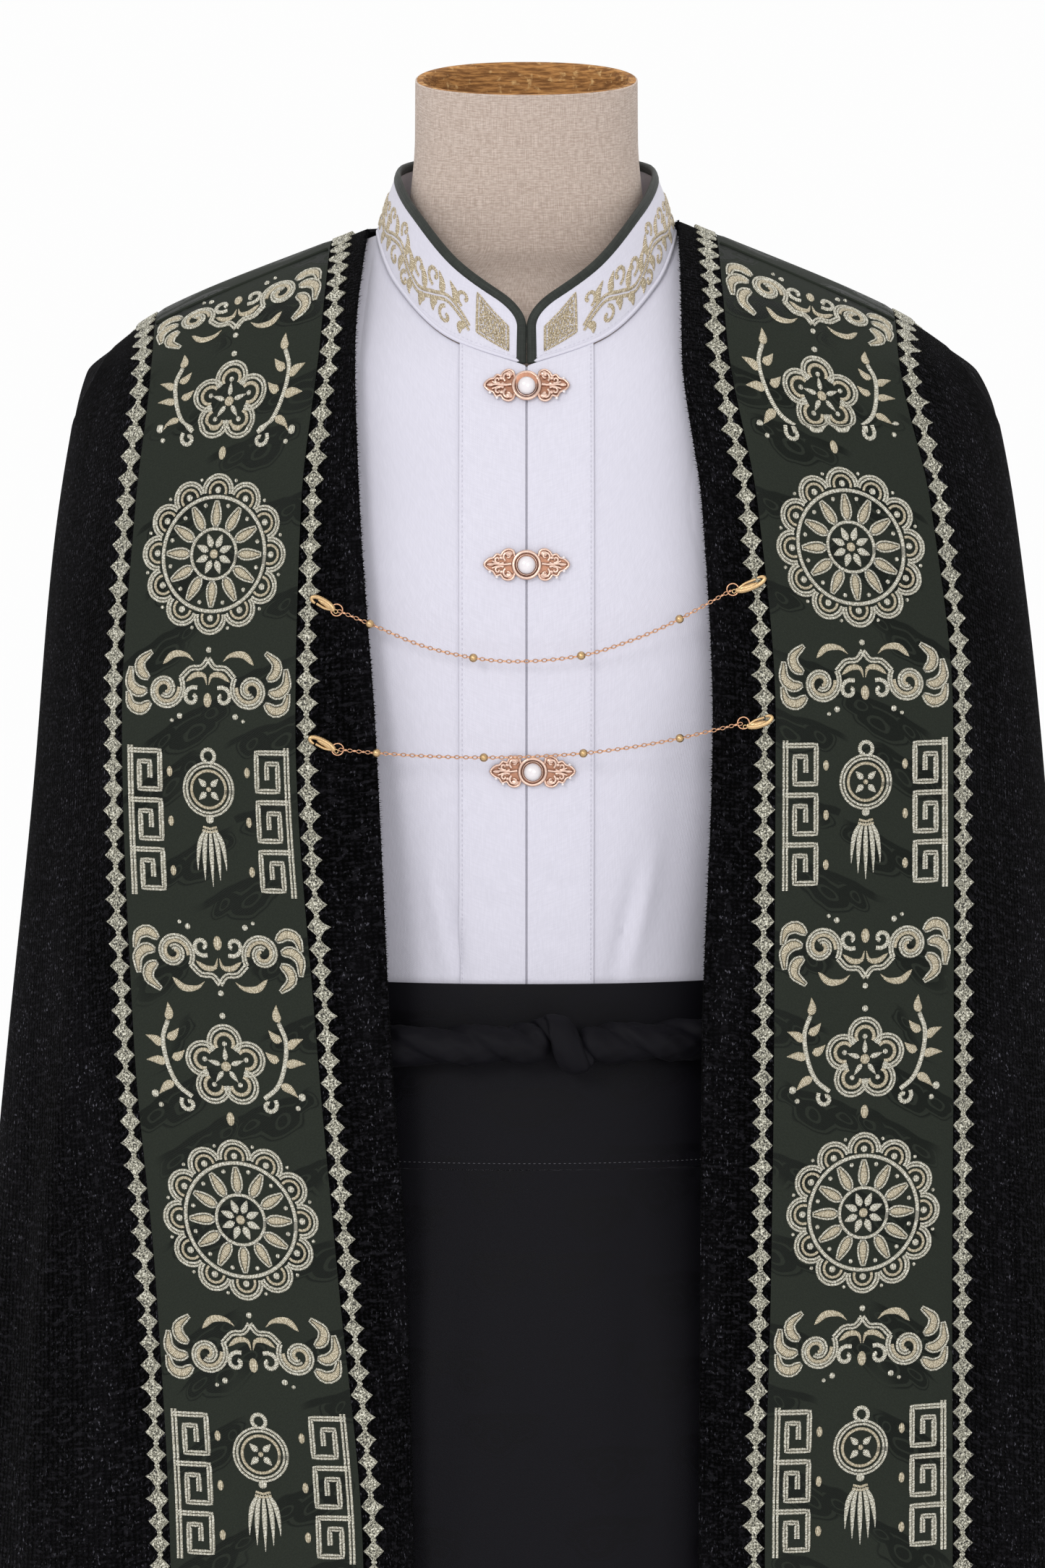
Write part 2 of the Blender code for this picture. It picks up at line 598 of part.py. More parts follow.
def shirt_sheet(side, back):
    """A front or back half: columns from the middle to the side, rows from the shoulder to the hem."""
    lines = SHIRT_BACK_LINES if back else SHIRT_FRONT_LINES
    seams = SHIRT_BACK_SEAMS if back else SHIRT_FRONT_SEAMS
    neck_height = track(NECK_SEAM, "z", "turn")
    armhole = track(ARMHOLE, "turn")
    tops = []
    for seam in seams:
        tops.append((max(NECK_HALF * math.sin(math.radians(seam)), lines[0]), neck_height(seam)))
    shoulder = len(tops) - 1
    for x in SHOULDER_XS:
        tops.append((x, SHIRT.ridge(side, x)))
    count = len(tops)

    def end_turn(z):
        return armhole(z) if ARMHOLE_FOOT < z < ARMHOLE_TOP else 90.0

    def body_turn(number, z):
        if number < len(lines):
            return SHIRT.turn_at(lines[number], z)
        start = SHIRT.turn_at(lines[-1], z)
        return start + (end_turn(z) - start) * (number - len(lines) + 1) / (count - len(lines))

    def place(turn, z, seam):
        if back:
            turn = 180 - turn
        shift = HALF_SEAM if back else -HALF_SEAM
        return shifted(SHIRT.knot(side * turn, z), shift if seam else 0.0)

    sheet = []
    for row in range(SHIRT_TOP_ROWS + 1):
        share = row / SHIRT_TOP_ROWS
        knots = []
        for number, (x, top) in enumerate(tops):
            z = top + (SHIRT_CHEST - top) * share ** CHEST_EASE
            foot = body_turn(number, SHIRT_CHEST)
            foot_x = abs(SHIRT.point(side * foot, SHIRT_CHEST).x)
            turn = SHIRT.turn_at(x + (foot_x - x) * share, z)
            if number == count - 1:
                turn = end_turn(z)
            on_seam = number >= shoulder and row == 0
            if on_seam:
                turn = 90.0
            knots.append(place(turn, z, on_seam))
        sheet.append(knots)
    for z in SHIRT_ROWS:
        knots = []
        for number in range(count):
            seam = number == count - 1 and z <= ARMHOLE_FOOT
            knots.append(place(body_turn(number, z), z, seam))
        sheet.append(knots)
    return sheet


def make_shirt(shirting, piping):
    """Panels, placket bands, collar, sleeves and cuffs."""
    for side, word in SIDES:
        sheet = shirt_sheet(side, back=False)
        add_wall("shirt_front_" + word, sheet, -SHIRT_WALL, 0.0, shirting)
        strip = [row[:len(SHIRT_FRONT_LINES)] for row in sheet]
        add_wall("shirt_placket_" + word, strip, SEAM_GAP, SEAM_GAP + SHIRT_WALL, shirting)
    left, right = shirt_sheet(-1, back=True), shirt_sheet(1, back=True)
    whole = [list(reversed(one[1:])) + other for one, other in zip(left, right)]
    add_wall("shirt_back", whole, -SHIRT_WALL, 0.0, shirting)
    make_collar(shirting, piping)
    for side, word in SIDES:
        make_sleeve(side, word, shirting)


def collar_point(turn, rise):
    """A point of the collar: rise 0 at the neck seam and 1 at its top edge."""
    foot = neck_point(turn, SEAM_GAP + SHIRT_WALL)
    around = turn if turn <= 180 else 360 - turn
    angle = math.radians(turn)
    top = Vector((
        COLLAR_HALF * math.sin(angle),
        COLLAR_MIDDLE - COLLAR_REACH * math.cos(angle) + COLLAR_SIDE_SHIFT * math.sin(angle) ** 2,
        track(COLLAR_TOP, "z", "turn")(around),
    ))
    return foot + (top - foot) * rise


def make_collar(shirting, piping):
    """The stand collar, and the binding round its two front ends and its top edge."""
    inside = COLLAR_START + BINDING_TURN
    first = inside + BINDING_GAP_TURN
    steps = round((360 - 2 * first) / COLLAR_TURN)
    turns = [COLLAR_START, inside, first]
    turns += [first + (360 - 2 * first) * k / steps for k in range(1, steps + 1)]
    turns += [360 - inside, 360 - COLLAR_START]
    sheet = []
    for rise in COLLAR_RISES:
        knots = []
        for turn in turns:
            across = collar_point(turn + 1, rise) - collar_point(turn - 1, rise)
            up = collar_point(turn, 1.0) - collar_point(turn, 0.0)
            knots.append((collar_point(turn, rise), across.cross(up).normalized()))
        sheet.append(knots)
    ends = (0, len(turns) - 2)
    gaps = (1, len(turns) - 3)
    top = len(COLLAR_RISES) - 2
    add_wall("shirt_collar", sheet, -SHIRT_WALL, SHIRT_WALL / 2, shirting,
             keep=lambda row, column: row < top - 1 and column not in ends + gaps)
    low, high = -SHIRT_WALL - BINDING_INSIDE, SHIRT_WALL / 2 + BINDING_OUTSIDE
    add_wall("collar_binding", sheet, low, high, piping, keep=lambda row, column: row == top or column in ends)


def ring_wall(name, rings, wall, material):
    """A tube wall through rings of points, each with the same count."""
    sheet = []
    for number, ring in enumerate(rings):
        above = rings[max(number - 1, 0)]
        below = rings[min(number + 1, len(rings) - 1)]
        knots = []
        for k, point in enumerate(ring):
            across = ring[(k + 1) % len(ring)] - ring[k - 1]
            down = below[k] - above[k]
            middle = sum(ring, Vector()) / len(ring)
            normal = across.cross(down).normalized()
            if normal.dot(point - middle) < 0:
                normal = -normal
            knots.append((point, normal))
        sheet.append(knots)
    return add_wall(name, sheet, -wall, 0.0, material, round_and_round=True)


def make_sleeve(side, word, shirting):
    """A sleeve from the armhole to the wrist, and the cuff below it."""
    armhole = track(ARMHOLE, "turn")
    middle = (ARMHOLE_TOP + ARMHOLE_FOOT) / 2
    reach = (ARMHOLE_TOP - ARMHOLE_FOOT) / 2
    angles = [math.radians(360 * k / SLEEVE_SIDES) for k in range(SLEEVE_SIDES)]
    top = []
    for angle in angles:
        z = middle + reach * math.cos(angle)
        turn = armhole(z)
        if math.sin(angle) < 0:
            turn = 180 - turn
        down = (1 - math.cos(angle)) / 2
        out = ARMHOLE_OUT_TOP + ARMHOLE_OUT_MORE * down
        top.append(SHIRT.point(side * turn, z) + Vector((side * out, 0, -ARMHOLE_DROP * down)))

    def oval(ring):
        points = []
        for angle in angles:
            x = side * (ring.middle + ring.half * math.cos(angle))
            points.append(Vector((x, -ring.depth * math.sin(angle), ring.z)))
        return points

    first = oval(SLEEVE_RINGS[0])
    rings = [top]
    for share in SLEEVE_CAP_SHARES:
        ring = []
        for angle, start, end in zip(angles, top, first):
            bulge = SLEEVE_CAP_BULGE * 4 * share * (1 - share) * (1 + math.cos(angle)) / 2
            ring.append(start.lerp(end, share) + Vector((side * bulge, 0, 0)))
        rings.append(ring)
    rings += [oval(ring) for ring in SLEEVE_RINGS]
    ring_wall("shirt_sleeve_" + word, rings, SHIRT_WALL, shirting)
    ring_wall("shirt_cuff_" + word, [oval(ring) for ring in CUFF_RINGS], 2 * SHIRT_WALL, shirting)


def make_skirt(satin):
    """The wide waistband, and the front and back below it."""
    turns = [-180 + SKIRT_TURN * k for k in range(round(360 / SKIRT_TURN))]
    heights = (SKIRT_TOP, SKIRT_BAND_MIDDLE, SKIRT_YOKE + SEAM_GAP)
    band = [[SKIRT.knot(turn, z) for turn in turns] for z in heights]
    add_wall("skirt_waistband", band, -SKIRT_WALL, 0.0, satin, round_and_round=True)
    for name, start, shift in (("skirt_front", -90, -HALF_SEAM), ("skirt_back", 90, HALF_SEAM)):
        sheet = []
        steps = round(180 / SKIRT_TURN)
        for z in (SKIRT_YOKE, *SKIRT_ROWS):
            knots = []
            for step in range(steps + 1):
                knot = SKIRT.knot(start + SKIRT_TURN * step, z)
                knots.append(shifted(knot, shift if step in (0, steps) else 0.0))
            sheet.append(knots)
        add_wall(name, sheet, -SKIRT_WALL, 0.0, satin)


def make_tie(satin):
    """A twisted strap round the waist."""
    reach = TIE_LONG + SEAM_GAP
    start = SKIRT.turn_at(KNOT_X + KNOT_HALF + TIE_END_GAP, TIE_HEIGHT)
    end = 360 + SKIRT.turn_at(KNOT_X - KNOT_HALF - TIE_END_GAP, TIE_HEIGHT)
    centres = []
    for k in range(TIE_STATIONS):
        turn = start + (end - start) * k / (TIE_STATIONS - 1)
        if turn > 180:
            turn -= 360
        point, normal = SKIRT.knot(turn, TIE_HEIGHT)
        normal = Vector((normal.x, normal.y, 0)).normalized()
        centres.append((point + normal * reach, normal))
    vertices = []
    for k, (centre, normal) in enumerate(centres):
        twist = 2 * math.pi * TIE_TWISTS * k / (TIE_STATIONS - 1)
        for step in range(TIE_SECTION):
            angle = 2 * math.pi * step / TIE_SECTION
            long, short = TIE_LONG * math.cos(angle), TIE_SHORT * math.sin(angle)
            out = long * math.cos(twist) - short * math.sin(twist)
            up = long * math.sin(twist) + short * math.cos(twist)
            vertices.append(centre + normal * out + Vector((0, 0, up)))
    add_object("waist_tie", vertices, tube_faces(TIE_STATIONS, TIE_SECTION), satin)


def make_knot(satin):
    """The short wrap over the tie's two ends in front."""
    middle = SKIRT.point(SKIRT.turn_at(KNOT_X, TIE_HEIGHT), TIE_HEIGHT)
    front, back = TIE_LONG * 2 + KNOT_PROUD, SEAM_GAP
    vertices = []
    for share, swell in KNOT_STATIONS:
        for k in range(KNOT_SIDES):
            angle = 2 * math.pi * k / KNOT_SIDES
            y = (front + back) / 2 + (front - back) / 2 * math.cos(angle) * swell
            z = TIE_HEIGHT + KNOT_RISE * math.sin(angle) * swell
            vertices.append(Vector((KNOT_X + KNOT_HALF * share, middle.y - y, z)))
    add_object("tie_knot", vertices, tube_faces(len(KNOT_STATIONS), KNOT_SIDES), satin)


def make_form(linen, metal):
    """The torso with its hollow neck, the pole it stands on and the round base."""
    tables = {name: track(FORM_RINGS, name) for name in ("half", "front", "back")}

    def ring(z, inset=0.0):
        points = []
        for step in range(FORM_STEPS):
            angle = math.radians(FORM_TURN * step)
            sine, cosine = math.sin(angle), math.cos(angle)
            half = tables["half"](z) - inset
            depth = (tables["front"](z) if cosine >= 0 else tables["back"](z)) - inset
            x = half * math.copysign(abs(sine) ** (2 / FORM_POWER), sine)
            y = -depth * math.copysign(abs(cosine) ** (2 / FORM_POWER), cosine)
            tilt = min(max((z - NECK_TILT_FROM) / (FORM_TOP - NECK_TILT_FROM), 0.0), 1.0)
            points.append(Vector((x, y, z + NECK_TILT * tilt * (y - NECK_PIVOT))))
        return points

    heights = [row.z for row in FORM_RINGS]
    rings = [ring(z) for z in heights]
    well = [z for z in reversed(heights) if z > NECK_WELL + NECK_WELL_RIM]
    rings += [ring(z, NECK_WALL) for z in well]
    rings.append([Vector((p.x, p.y, NECK_WELL)) for p in ring(NECK_TILT_FROM, NECK_WALL)])
    vertices = [point for one in rings for point in one]
    add_object("form_torso", vertices, tube_faces(len(rings), FORM_STEPS), linen)

    bpy.ops.mesh.primitive_cylinder_add(
        vertices=ROUND_STEPS, radius=POLE_RADIUS, depth=FORM_BOTTOM - BASE_HEIGHT - 2 * SEAM_GAP,
        location=(0, 0, (FORM_BOTTOM + BASE_HEIGHT) / 2))
    finish_round("form_pole", metal)
    bpy.ops.mesh.primitive_cylinder_add(
        vertices=ROUND_STEPS, radius=BASE_RADIUS, depth=BASE_HEIGHT, location=(0, 0, BASE_HEIGHT / 2))
    base = finish_round("form_base", metal)
    bevel = base.modifiers.new("edge", "BEVEL")
    bevel.width = BASE_BEVEL
    bevel.segments = BASE_BEVEL_STEPS
    bevel.limit_method = "ANGLE"


def finish_round(name, material):
    """Name the newest object and give it its finish."""
    piece = bpy.context.object
    piece.name = name
    piece.data.name = name
    piece.data.materials.append(material)
    piece.data.shade_smooth()
    piece.data.set_sharp_from_angle(angle=math.radians(SHARP_ANGLE))
    return piece


def make_frogs(rose_gold, pearl):
    """Each clasp is a cast plate that follows the placket, with a pearl in its middle."""
    outline = [(wing.reach, wing.half) for wing in FROG_WING]
    outline += [(wing.reach, -wing.half) for wing in reversed(FROG_WING)]
    outline += [(-wing.reach, -wing.half) for wing in FROG_WING[1:]]
    outline += [(-wing.reach, wing.half) for wing in reversed(FROG_WING[1:])]
    for number, place in enumerate(FROG_PLACES, start=1):
        above = SHIRT.point(0, place.z + FROG_SLOPE_REACH).y
        below = SHIRT.point(0, place.z - FROG_SLOPE_REACH).y
        slope = (above - below) / (2 * FROG_SLOPE_REACH)
        back = SHIRT.point(0, place.z).y - SEAM_GAP * 2 - SHIRT_WALL - FROG_SEAT
        vertices = []
        for y in (back, back - FROG_THICKNESS):
            vertices += [Vector((place.x + x, y + slope * z, place.z + z)) for x, z in outline]
        count = len(outline)
        faces = [(k, (k + 1) % count, (k + 1) % count + count, k + count) for k in range(count)]
        faces.append(tuple(reversed(range(count))))
        faces.append(tuple(range(count, 2 * count)))
        add_object(f"frog_plate_{number}", vertices, faces, rose_gold, smooth=False)
        bpy.ops.mesh.primitive_uv_sphere_add(
            segments=PEARL_SEGMENTS, ring_count=PEARL_RINGS, radius=PEARL_RADIUS)
        ball = bpy.context.object
        ball.scale = (1, PEARL_DEPTH / PEARL_RADIUS, 1)
        ball.location = (place.x, back - FROG_THICKNESS - SEAM_GAP - PEARL_DEPTH - FROG_SEAT, place.z)
        ball.rotation_euler.x = -math.atan(slope)
        finish_round(f"frog_pearl_{number}", pearl)


def smooth_route(points, count):
    """Evenly shared points on a Catmull-Rom curve through a route's own points."""
    knots = [Vector(point) for point in points]
    knots = [2 * knots[0] - knots[1], *knots, 2 * knots[-1] - knots[-2]]
    fine = []
    for a, b, c, d in zip(knots, knots[1:], knots[2:], knots[3:]):
        for k in range(ROUTE_STEPS):
            t = k / ROUTE_STEPS
            fine.append(0.5 * (2 * b + (c - a) * t + (2 * a - 5 * b + 4 * c - d) * t ** 2
                               + (3 * b - a - 3 * c + d) * t ** 3))
    fine.append(knots[-2])
    lengths = [0.0]
    for one, other in zip(fine, fine[1:]):
        lengths.append(lengths[-1] + (other - one).length)
    even = []
    for k in range(count):
        want = lengths[-1] * k / (count - 1)
        i = max(n for n in range(len(fine) - 1) if lengths[n] <= want)
        even.append(fine[i].lerp(fine[i + 1], (want - lengths[i]) / (lengths[i + 1] - lengths[i])))
    return even


def make_chains(rose_gold):
    """Two chains across the chest, with a clasp at each end."""
    for word, route, tips in (("upper", UPPER_ROUTE, UPPER_TIPS), ("lower", LOWER_ROUTE, LOWER_TIPS)):
        curve = bpy.data.curves.new("chain_" + word, "CURVE")
        curve.dimensions = "3D"
        curve.bevel_depth = CHAIN_RADIUS
        curve.bevel_resolution = CHAIN_BEVEL
        curve.use_fill_caps = True
        path = smooth_route(route, CHAIN_POINTS)
        spline = curve.splines.new("POLY")
        spline.points.add(len(path) - 1)
        for point, where in zip(spline.points, path):
            point.co = (*where, 1)
        curve.materials.append(rose_gold)
        bpy.context.scene.collection.objects.link(bpy.data.objects.new("chain_" + word, curve))
        for side_word, end, inward, (x, z) in (
            ("left", path[0], path[1], tips[0]), ("right", path[-1], path[-2], tips[1]),
        ):
            make_clasp(f"clasp_{word}_{side_word}", Vector(end), Vector(inward), x, z, rose_gold)


def make_clasp(name, end, inward, x, z, rose_gold):
    """A small snap hook, from the chain's end to its tip in the trim."""
    turn = CAPE.turn_at(x, z)
    point, normal = CAPE.knot(math.copysign(turn, x), z)
    tip = point + normal * (SEAM_GAP + TRIM_WALL + CLASP_SEAT)
    start = end + (end - inward).normalized() * CLASP_GAP
    along = tip - start
    forward = along.normalized()
    side = forward.cross(Vector((0, -1, 0))).normalized()
    out = side.cross(forward).normalized()
    vertices = []
    for share, swell in CLASP_STATIONS:
        for k in range(CLASP_SIDES):
            angle = 2 * math.pi * k / CLASP_SIDES
            wide = side * (CLASP_RADIUS * CLASP_WIDE * swell * math.cos(angle))
            deep = out * (CLASP_RADIUS * CLASP_FLAT * swell * math.sin(angle))
            vertices.append(start + along * share + wide + deep)
    add_object(name, vertices, tube_faces(len(CLASP_STATIONS), CLASP_SIDES), rose_gold)


def main():
    """Make every piece of the set, the form and the stand."""
    for old in list(bpy.data.objects):
        bpy.data.objects.remove(old, do_unlink=True)
    tweed = add_material("black boucle tweed", (0.006, 0.006, 0.007), 0.9)
    jacquard = add_material("green jacquard", (0.02, 0.035, 0.028), 0.7)
    braid = add_material("pale gold braid", (0.58, 0.48, 0.32), 0.5)
    shirting = add_material("white shirting", (0.83, 0.82, 0.88), 0.7)
    piping = add_material("green piping", (0.025, 0.035, 0.028), 0.7)
    satin = add_material("black figured satin", (0.012, 0.012, 0.013), 0.5)
    rose_gold = add_material("rose gold plate", (0.78, 0.42, 0.28), 0.25, metallic=1.0)
    pearl = add_material("pearl", (0.85, 0.82, 0.78), 0.2)
    linen = add_material("natural linen", (0.55, 0.48, 0.41), 0.9)
    metal = add_material("grey painted steel", (0.20, 0.19, 0.18), 0.4)
    make_form(linen, metal)
    make_shirt(shirting, piping)
    make_frogs(rose_gold, pearl)
    make_skirt(satin)
    make_tie(satin)
    make_knot(satin)
    make_cape(tweed, jacquard, braid)
    make_chains(rose_gold)


main()
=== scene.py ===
"""The looks of a shirt, a long skirt and an open cape on a limbless dress form.

Metres, +Z up. The front faces -Y and the viewer's right is +X. The cloth
surfaces repeat the level sections of the solids and are sampled finely, with
creases, stitching, lace, embroidery and chains added as real meshes.
"""
import functools
import math
import random
from collections import namedtuple

import bpy
import numpy as np
from bpy.props import FloatProperty, FloatVectorProperty, PointerProperty
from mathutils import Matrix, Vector


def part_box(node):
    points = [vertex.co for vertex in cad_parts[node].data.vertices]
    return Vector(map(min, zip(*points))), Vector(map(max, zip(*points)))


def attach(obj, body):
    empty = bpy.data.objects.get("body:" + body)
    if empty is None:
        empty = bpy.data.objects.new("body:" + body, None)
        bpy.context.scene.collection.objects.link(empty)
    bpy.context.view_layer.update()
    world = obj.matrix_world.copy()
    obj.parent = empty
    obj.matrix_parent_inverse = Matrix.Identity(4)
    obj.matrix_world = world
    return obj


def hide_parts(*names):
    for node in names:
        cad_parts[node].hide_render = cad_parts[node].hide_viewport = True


bl_info = {
    "name": "Cape, Shirt and Skirt Set",
    "version": (1, 0, 0),
    "blender": (4, 5, 0),
    "location": "View3D > Sidebar > Cape Set",
    "description": "Cloth, lace, embroidery, chains and dress form of an open cape set",
    "category": "Object",
}

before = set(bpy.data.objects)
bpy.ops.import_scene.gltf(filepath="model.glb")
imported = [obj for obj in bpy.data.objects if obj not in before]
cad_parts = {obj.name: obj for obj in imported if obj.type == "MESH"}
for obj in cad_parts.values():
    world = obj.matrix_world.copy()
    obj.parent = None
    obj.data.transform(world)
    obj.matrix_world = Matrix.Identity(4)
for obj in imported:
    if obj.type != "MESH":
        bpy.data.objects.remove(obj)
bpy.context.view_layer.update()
MM = 0.001
FACING = (0.0, -1.0, 0.0)
SIDES = ((-1, "left"), (1, "right"))

SEAM_GAP = 0.0003
HALF_SEAM = SEAM_GAP / 2
SHIRT_WALL = 0.0012
SKIRT_WALL = 0.0018
CAPE_WALL = 0.0025
BAND_WALL = 0.0012

Half = namedtuple("Half", "z half")
Depth = namedtuple("Depth", "z front back")
Front = namedtuple("Front", "z edge inner outer")
Neck = namedtuple("Neck", "z turn")
Arm = namedtuple("Arm", "z turn")
Ring = namedtuple("Ring", "z half front back")
SleeveRing = namedtuple("SleeveRing", "z middle half depth")
Crease = namedtuple("Crease", "face x0 z0 x1 z1 width depth")
Folds = namedtuple("Folds", "start end depth quiet pitch phase")
FRONT_FACE, BACK_FACE = -1, 1

CAPE_LEFT = (
    Half(1.4245, 0.0805), Half(1.3800, 0.1880), Half(1.3650, 0.2087), Half(1.3520, 0.2235),
    Half(1.3140, 0.2325), Half(1.2556, 0.2410), Half(1.1390, 0.2515), Half(0.9980, 0.2660),
    Half(0.7760, 0.2850), Half(0.3500, 0.3100),
)
CAPE_RIGHT = (
    Half(1.4285, 0.0770), Half(1.3800, 0.1900), Half(1.3650, 0.2130), Half(1.3520, 0.2297),
    Half(1.3300, 0.2390), Half(1.2430, 0.2535), Half(1.1510, 0.2637), Half(1.0000, 0.2750),
    Half(0.7760, 0.2900), Half(0.3500, 0.3100),
)
CAPE_DEPTH = (
    Depth(1.4300, 0.044, 0.076), Depth(1.4100, 0.064, 0.092), Depth(1.3800, 0.091, 0.113),
    Depth(1.3300, 0.112, 0.129), Depth(1.2500, 0.124, 0.135), Depth(1.1500, 0.1255, 0.134),
    Depth(1.0500, 0.127, 0.136), Depth(0.9000, 0.134, 0.144), Depth(0.6500, 0.150, 0.160),
    Depth(0.3500, 0.168, 0.178),
)
CAPE_POWER = 2.4
CAPE_NAPE = 1.4275
CAPE_HEM = 0.35
CAPE_CORNER = 1.365
SHOULDER_FOOT = 1.325
FRONT_LEFT = (
    Front(1.4245, 0.0805, 0.0975, 0.1860), Front(1.3650, 0.0847, 0.1019, 0.1858),
    Front(1.2870, 0.0821, 0.1105, 0.1932), Front(1.1805, 0.0746, 0.1134, 0.2003),
    Front(1.0207, 0.0668, 0.1030, 0.1943), Front(0.9067, 0.0593, 0.0927, 0.1836),
    Front(0.7755, 0.0561, 0.0806, 0.1762), Front(0.3500, 0.0500, 0.0720, 0.1680),
)
FRONT_RIGHT = (
    Front(1.4285, 0.0770, 0.0950, 0.1845), Front(1.3650, 0.0767, 0.0991, 0.1843),
    Front(1.2870, 0.0863, 0.1133, 0.1996), Front(1.1805, 0.0916, 0.1222, 0.2112),
    Front(1.0207, 0.0867, 0.1218, 0.2117), Front(0.9067, 0.0860, 0.1204, 0.2110),
    Front(0.7755, 0.0852, 0.1174, 0.2113), Front(0.3500, 0.0850, 0.1170, 0.2113),
)
TRIM_WIDTH = 0.010
PAST_TRIM = 0.13
EDGE_LINE, INNER_FAR, INNER_NEAR, BAND_IN, BAND_OUT, OUTER_NEAR, OUTER_FAR, SIDE_LINE = range(8)

SHIRT_HALF = (
    Half(1.4215, 0.0750), Half(1.4021, 0.1280), Half(1.3830, 0.1740), Half(1.3735, 0.1880),
    Half(1.3600, 0.1885), Half(1.3300, 0.1800), Half(1.2900, 0.1710), Half(1.2350, 0.1630),
    Half(1.1500, 0.1480), Half(1.0500, 0.1345), Half(1.0000, 0.1345), Half(0.9300, 0.1480),
)
SHIRT_DEPTH = (
    Depth(1.4215, 0.036, 0.069), Depth(1.4000, 0.054, 0.083), Depth(1.3750, 0.077, 0.098),
    Depth(1.3547, 0.093, 0.107), Depth(1.3300, 0.103, 0.113), Depth(1.2500, 0.1165, 0.118),
    Depth(1.1500, 0.111, 0.108), Depth(1.0500, 0.0995, 0.095), Depth(1.0000, 0.0985, 0.094),
    Depth(0.9300, 0.1040, 0.104),
)
SHIRT_POWER = 2.3
SHIRT_HEM = 0.930
SHIRT_CHEST = 1.325
PLACKET_WIDTH = 0.033
PLACKET_GAP = 0.0012
CLOSED_EDGE = 0.00003
ARMHOLE_TOP = 1.3735
ARMHOLE_FOOT = 1.2350
ARMHOLE = (Arm(1.3735, 90.0), Arm(1.3600, 72.0), Arm(1.3300, 60.0), Arm(1.2925, 57.0),
           Arm(1.2600, 66.0), Arm(1.2350, 90.0))
SHOULDER_XS = (0.075, 0.105, 0.133, 0.161, 0.1879)
NECK_HALF = 0.0750
NECK_SEAM = (Neck(1.3547, 0), Neck(1.3680, 30), Neck(1.3950, 60), Neck(1.4215, 90),
             Neck(1.4235, 130), Neck(1.4240, 180))
COLLAR_TOP = (Neck(1.3826, 0), Neck(1.4060, 30), Neck(1.4350, 60), Neck(1.4530, 90),
              Neck(1.4610, 130), Neck(1.4650, 180))
COLLAR_HALF = 0.0650
COLLAR_MIDDLE = -0.0080
COLLAR_REACH = 0.0770
COLLAR_SIDE_SHIFT = 0.0175
COLLAR_START = 2.1
COLLAR_RISE = 0.93

SLEEVE_TOP = 1.200
SLEEVE_RINGS = (SleeveRing(SLEEVE_TOP, 0.1975, 0.0270, 0.0620), SleeveRing(1.080, 0.2090, 0.0260, 0.0570),
                SleeveRing(0.930, 0.2260, 0.0240, 0.0500), SleeveRing(0.7903, 0.2420, 0.0220, 0.0430))
CUFF_RINGS = (SleeveRing(0.7900, 0.2420, 0.0228, 0.0438), SleeveRing(0.7350, 0.2470, 0.0228, 0.0438))
SLEEVE_CAP_BULGE = 0.012

SKIRT_HALF = (Half(1.0500, 0.1410), Half(0.9580, 0.1500), Half(0.8500, 0.1770), Half(0.7500, 0.1960),
              Half(0.5000, 0.2260), Half(0.1000, 0.2600))
SKIRT_DEPTH = (Depth(1.0500, 0.1037, 0.0990), Depth(0.9580, 0.1105, 0.1080),
               Depth(0.8500, 0.1240, 0.1300), Depth(0.7500, 0.1300, 0.1420),
               Depth(0.5000, 0.1420, 0.1600), Depth(0.1000, 0.1600, 0.1850))
SKIRT_POWER = 2.2
SKIRT_TOP, SKIRT_YOKE, SKIRT_HEM = 1.050, 0.958, 0.100
TIE_HEIGHT = 1.021
TIE_LONG = 0.0108
KNOT_X = 0.018
KNOT_HALF = 0.0062

FORM_RINGS = (
    Ring(0.8000, 0.1450, 0.1010, 0.1060), Ring(0.8500, 0.1620, 0.1130, 0.1180),
    Ring(0.9100, 0.1440, 0.1010, 0.1010), Ring(0.9700, 0.1300, 0.0930, 0.0900),
    Ring(1.0300, 0.1240, 0.0900, 0.0860), Ring(1.1000, 0.1320, 0.0970, 0.0930),
    Ring(1.1700, 0.1440, 0.1060, 0.1030), Ring(1.2350, 0.1550, 0.1110, 0.1100),
    Ring(1.2900, 0.1620, 0.1070, 0.1090), Ring(1.3300, 0.1700, 0.0950, 0.1040),
    Ring(1.3550, 0.1770, 0.0820, 0.0950), Ring(1.3670, 0.1790, 0.0690, 0.0840),
    Ring(1.3760, 0.1640, 0.0560, 0.0740), Ring(1.3920, 0.1270, 0.0440, 0.0640),
    Ring(1.4020, 0.0900, 0.0380, 0.0580), Ring(1.4150, 0.0630, 0.0400, 0.0560),
    Ring(1.4400, 0.0590, 0.0430, 0.0580), Ring(1.4700, 0.0565, 0.0460, 0.0590),
    Ring(1.5000, 0.0563, 0.0500, 0.0600),
)
FORM_POWER = 2.2
NECK_WALL = 0.0045
NECK_WELL = 1.400
NECK_TILT = 0.196
NECK_TILT_FROM = 1.4150

FrogPlace = namedtuple("FrogPlace", "z x")
FROG_PLACES = (FrogPlace(1.3456, 0.0), FrogPlace(1.2580, 0.0), FrogPlace(1.1560, 0.003))
FROG_THICKNESS = 0.0020

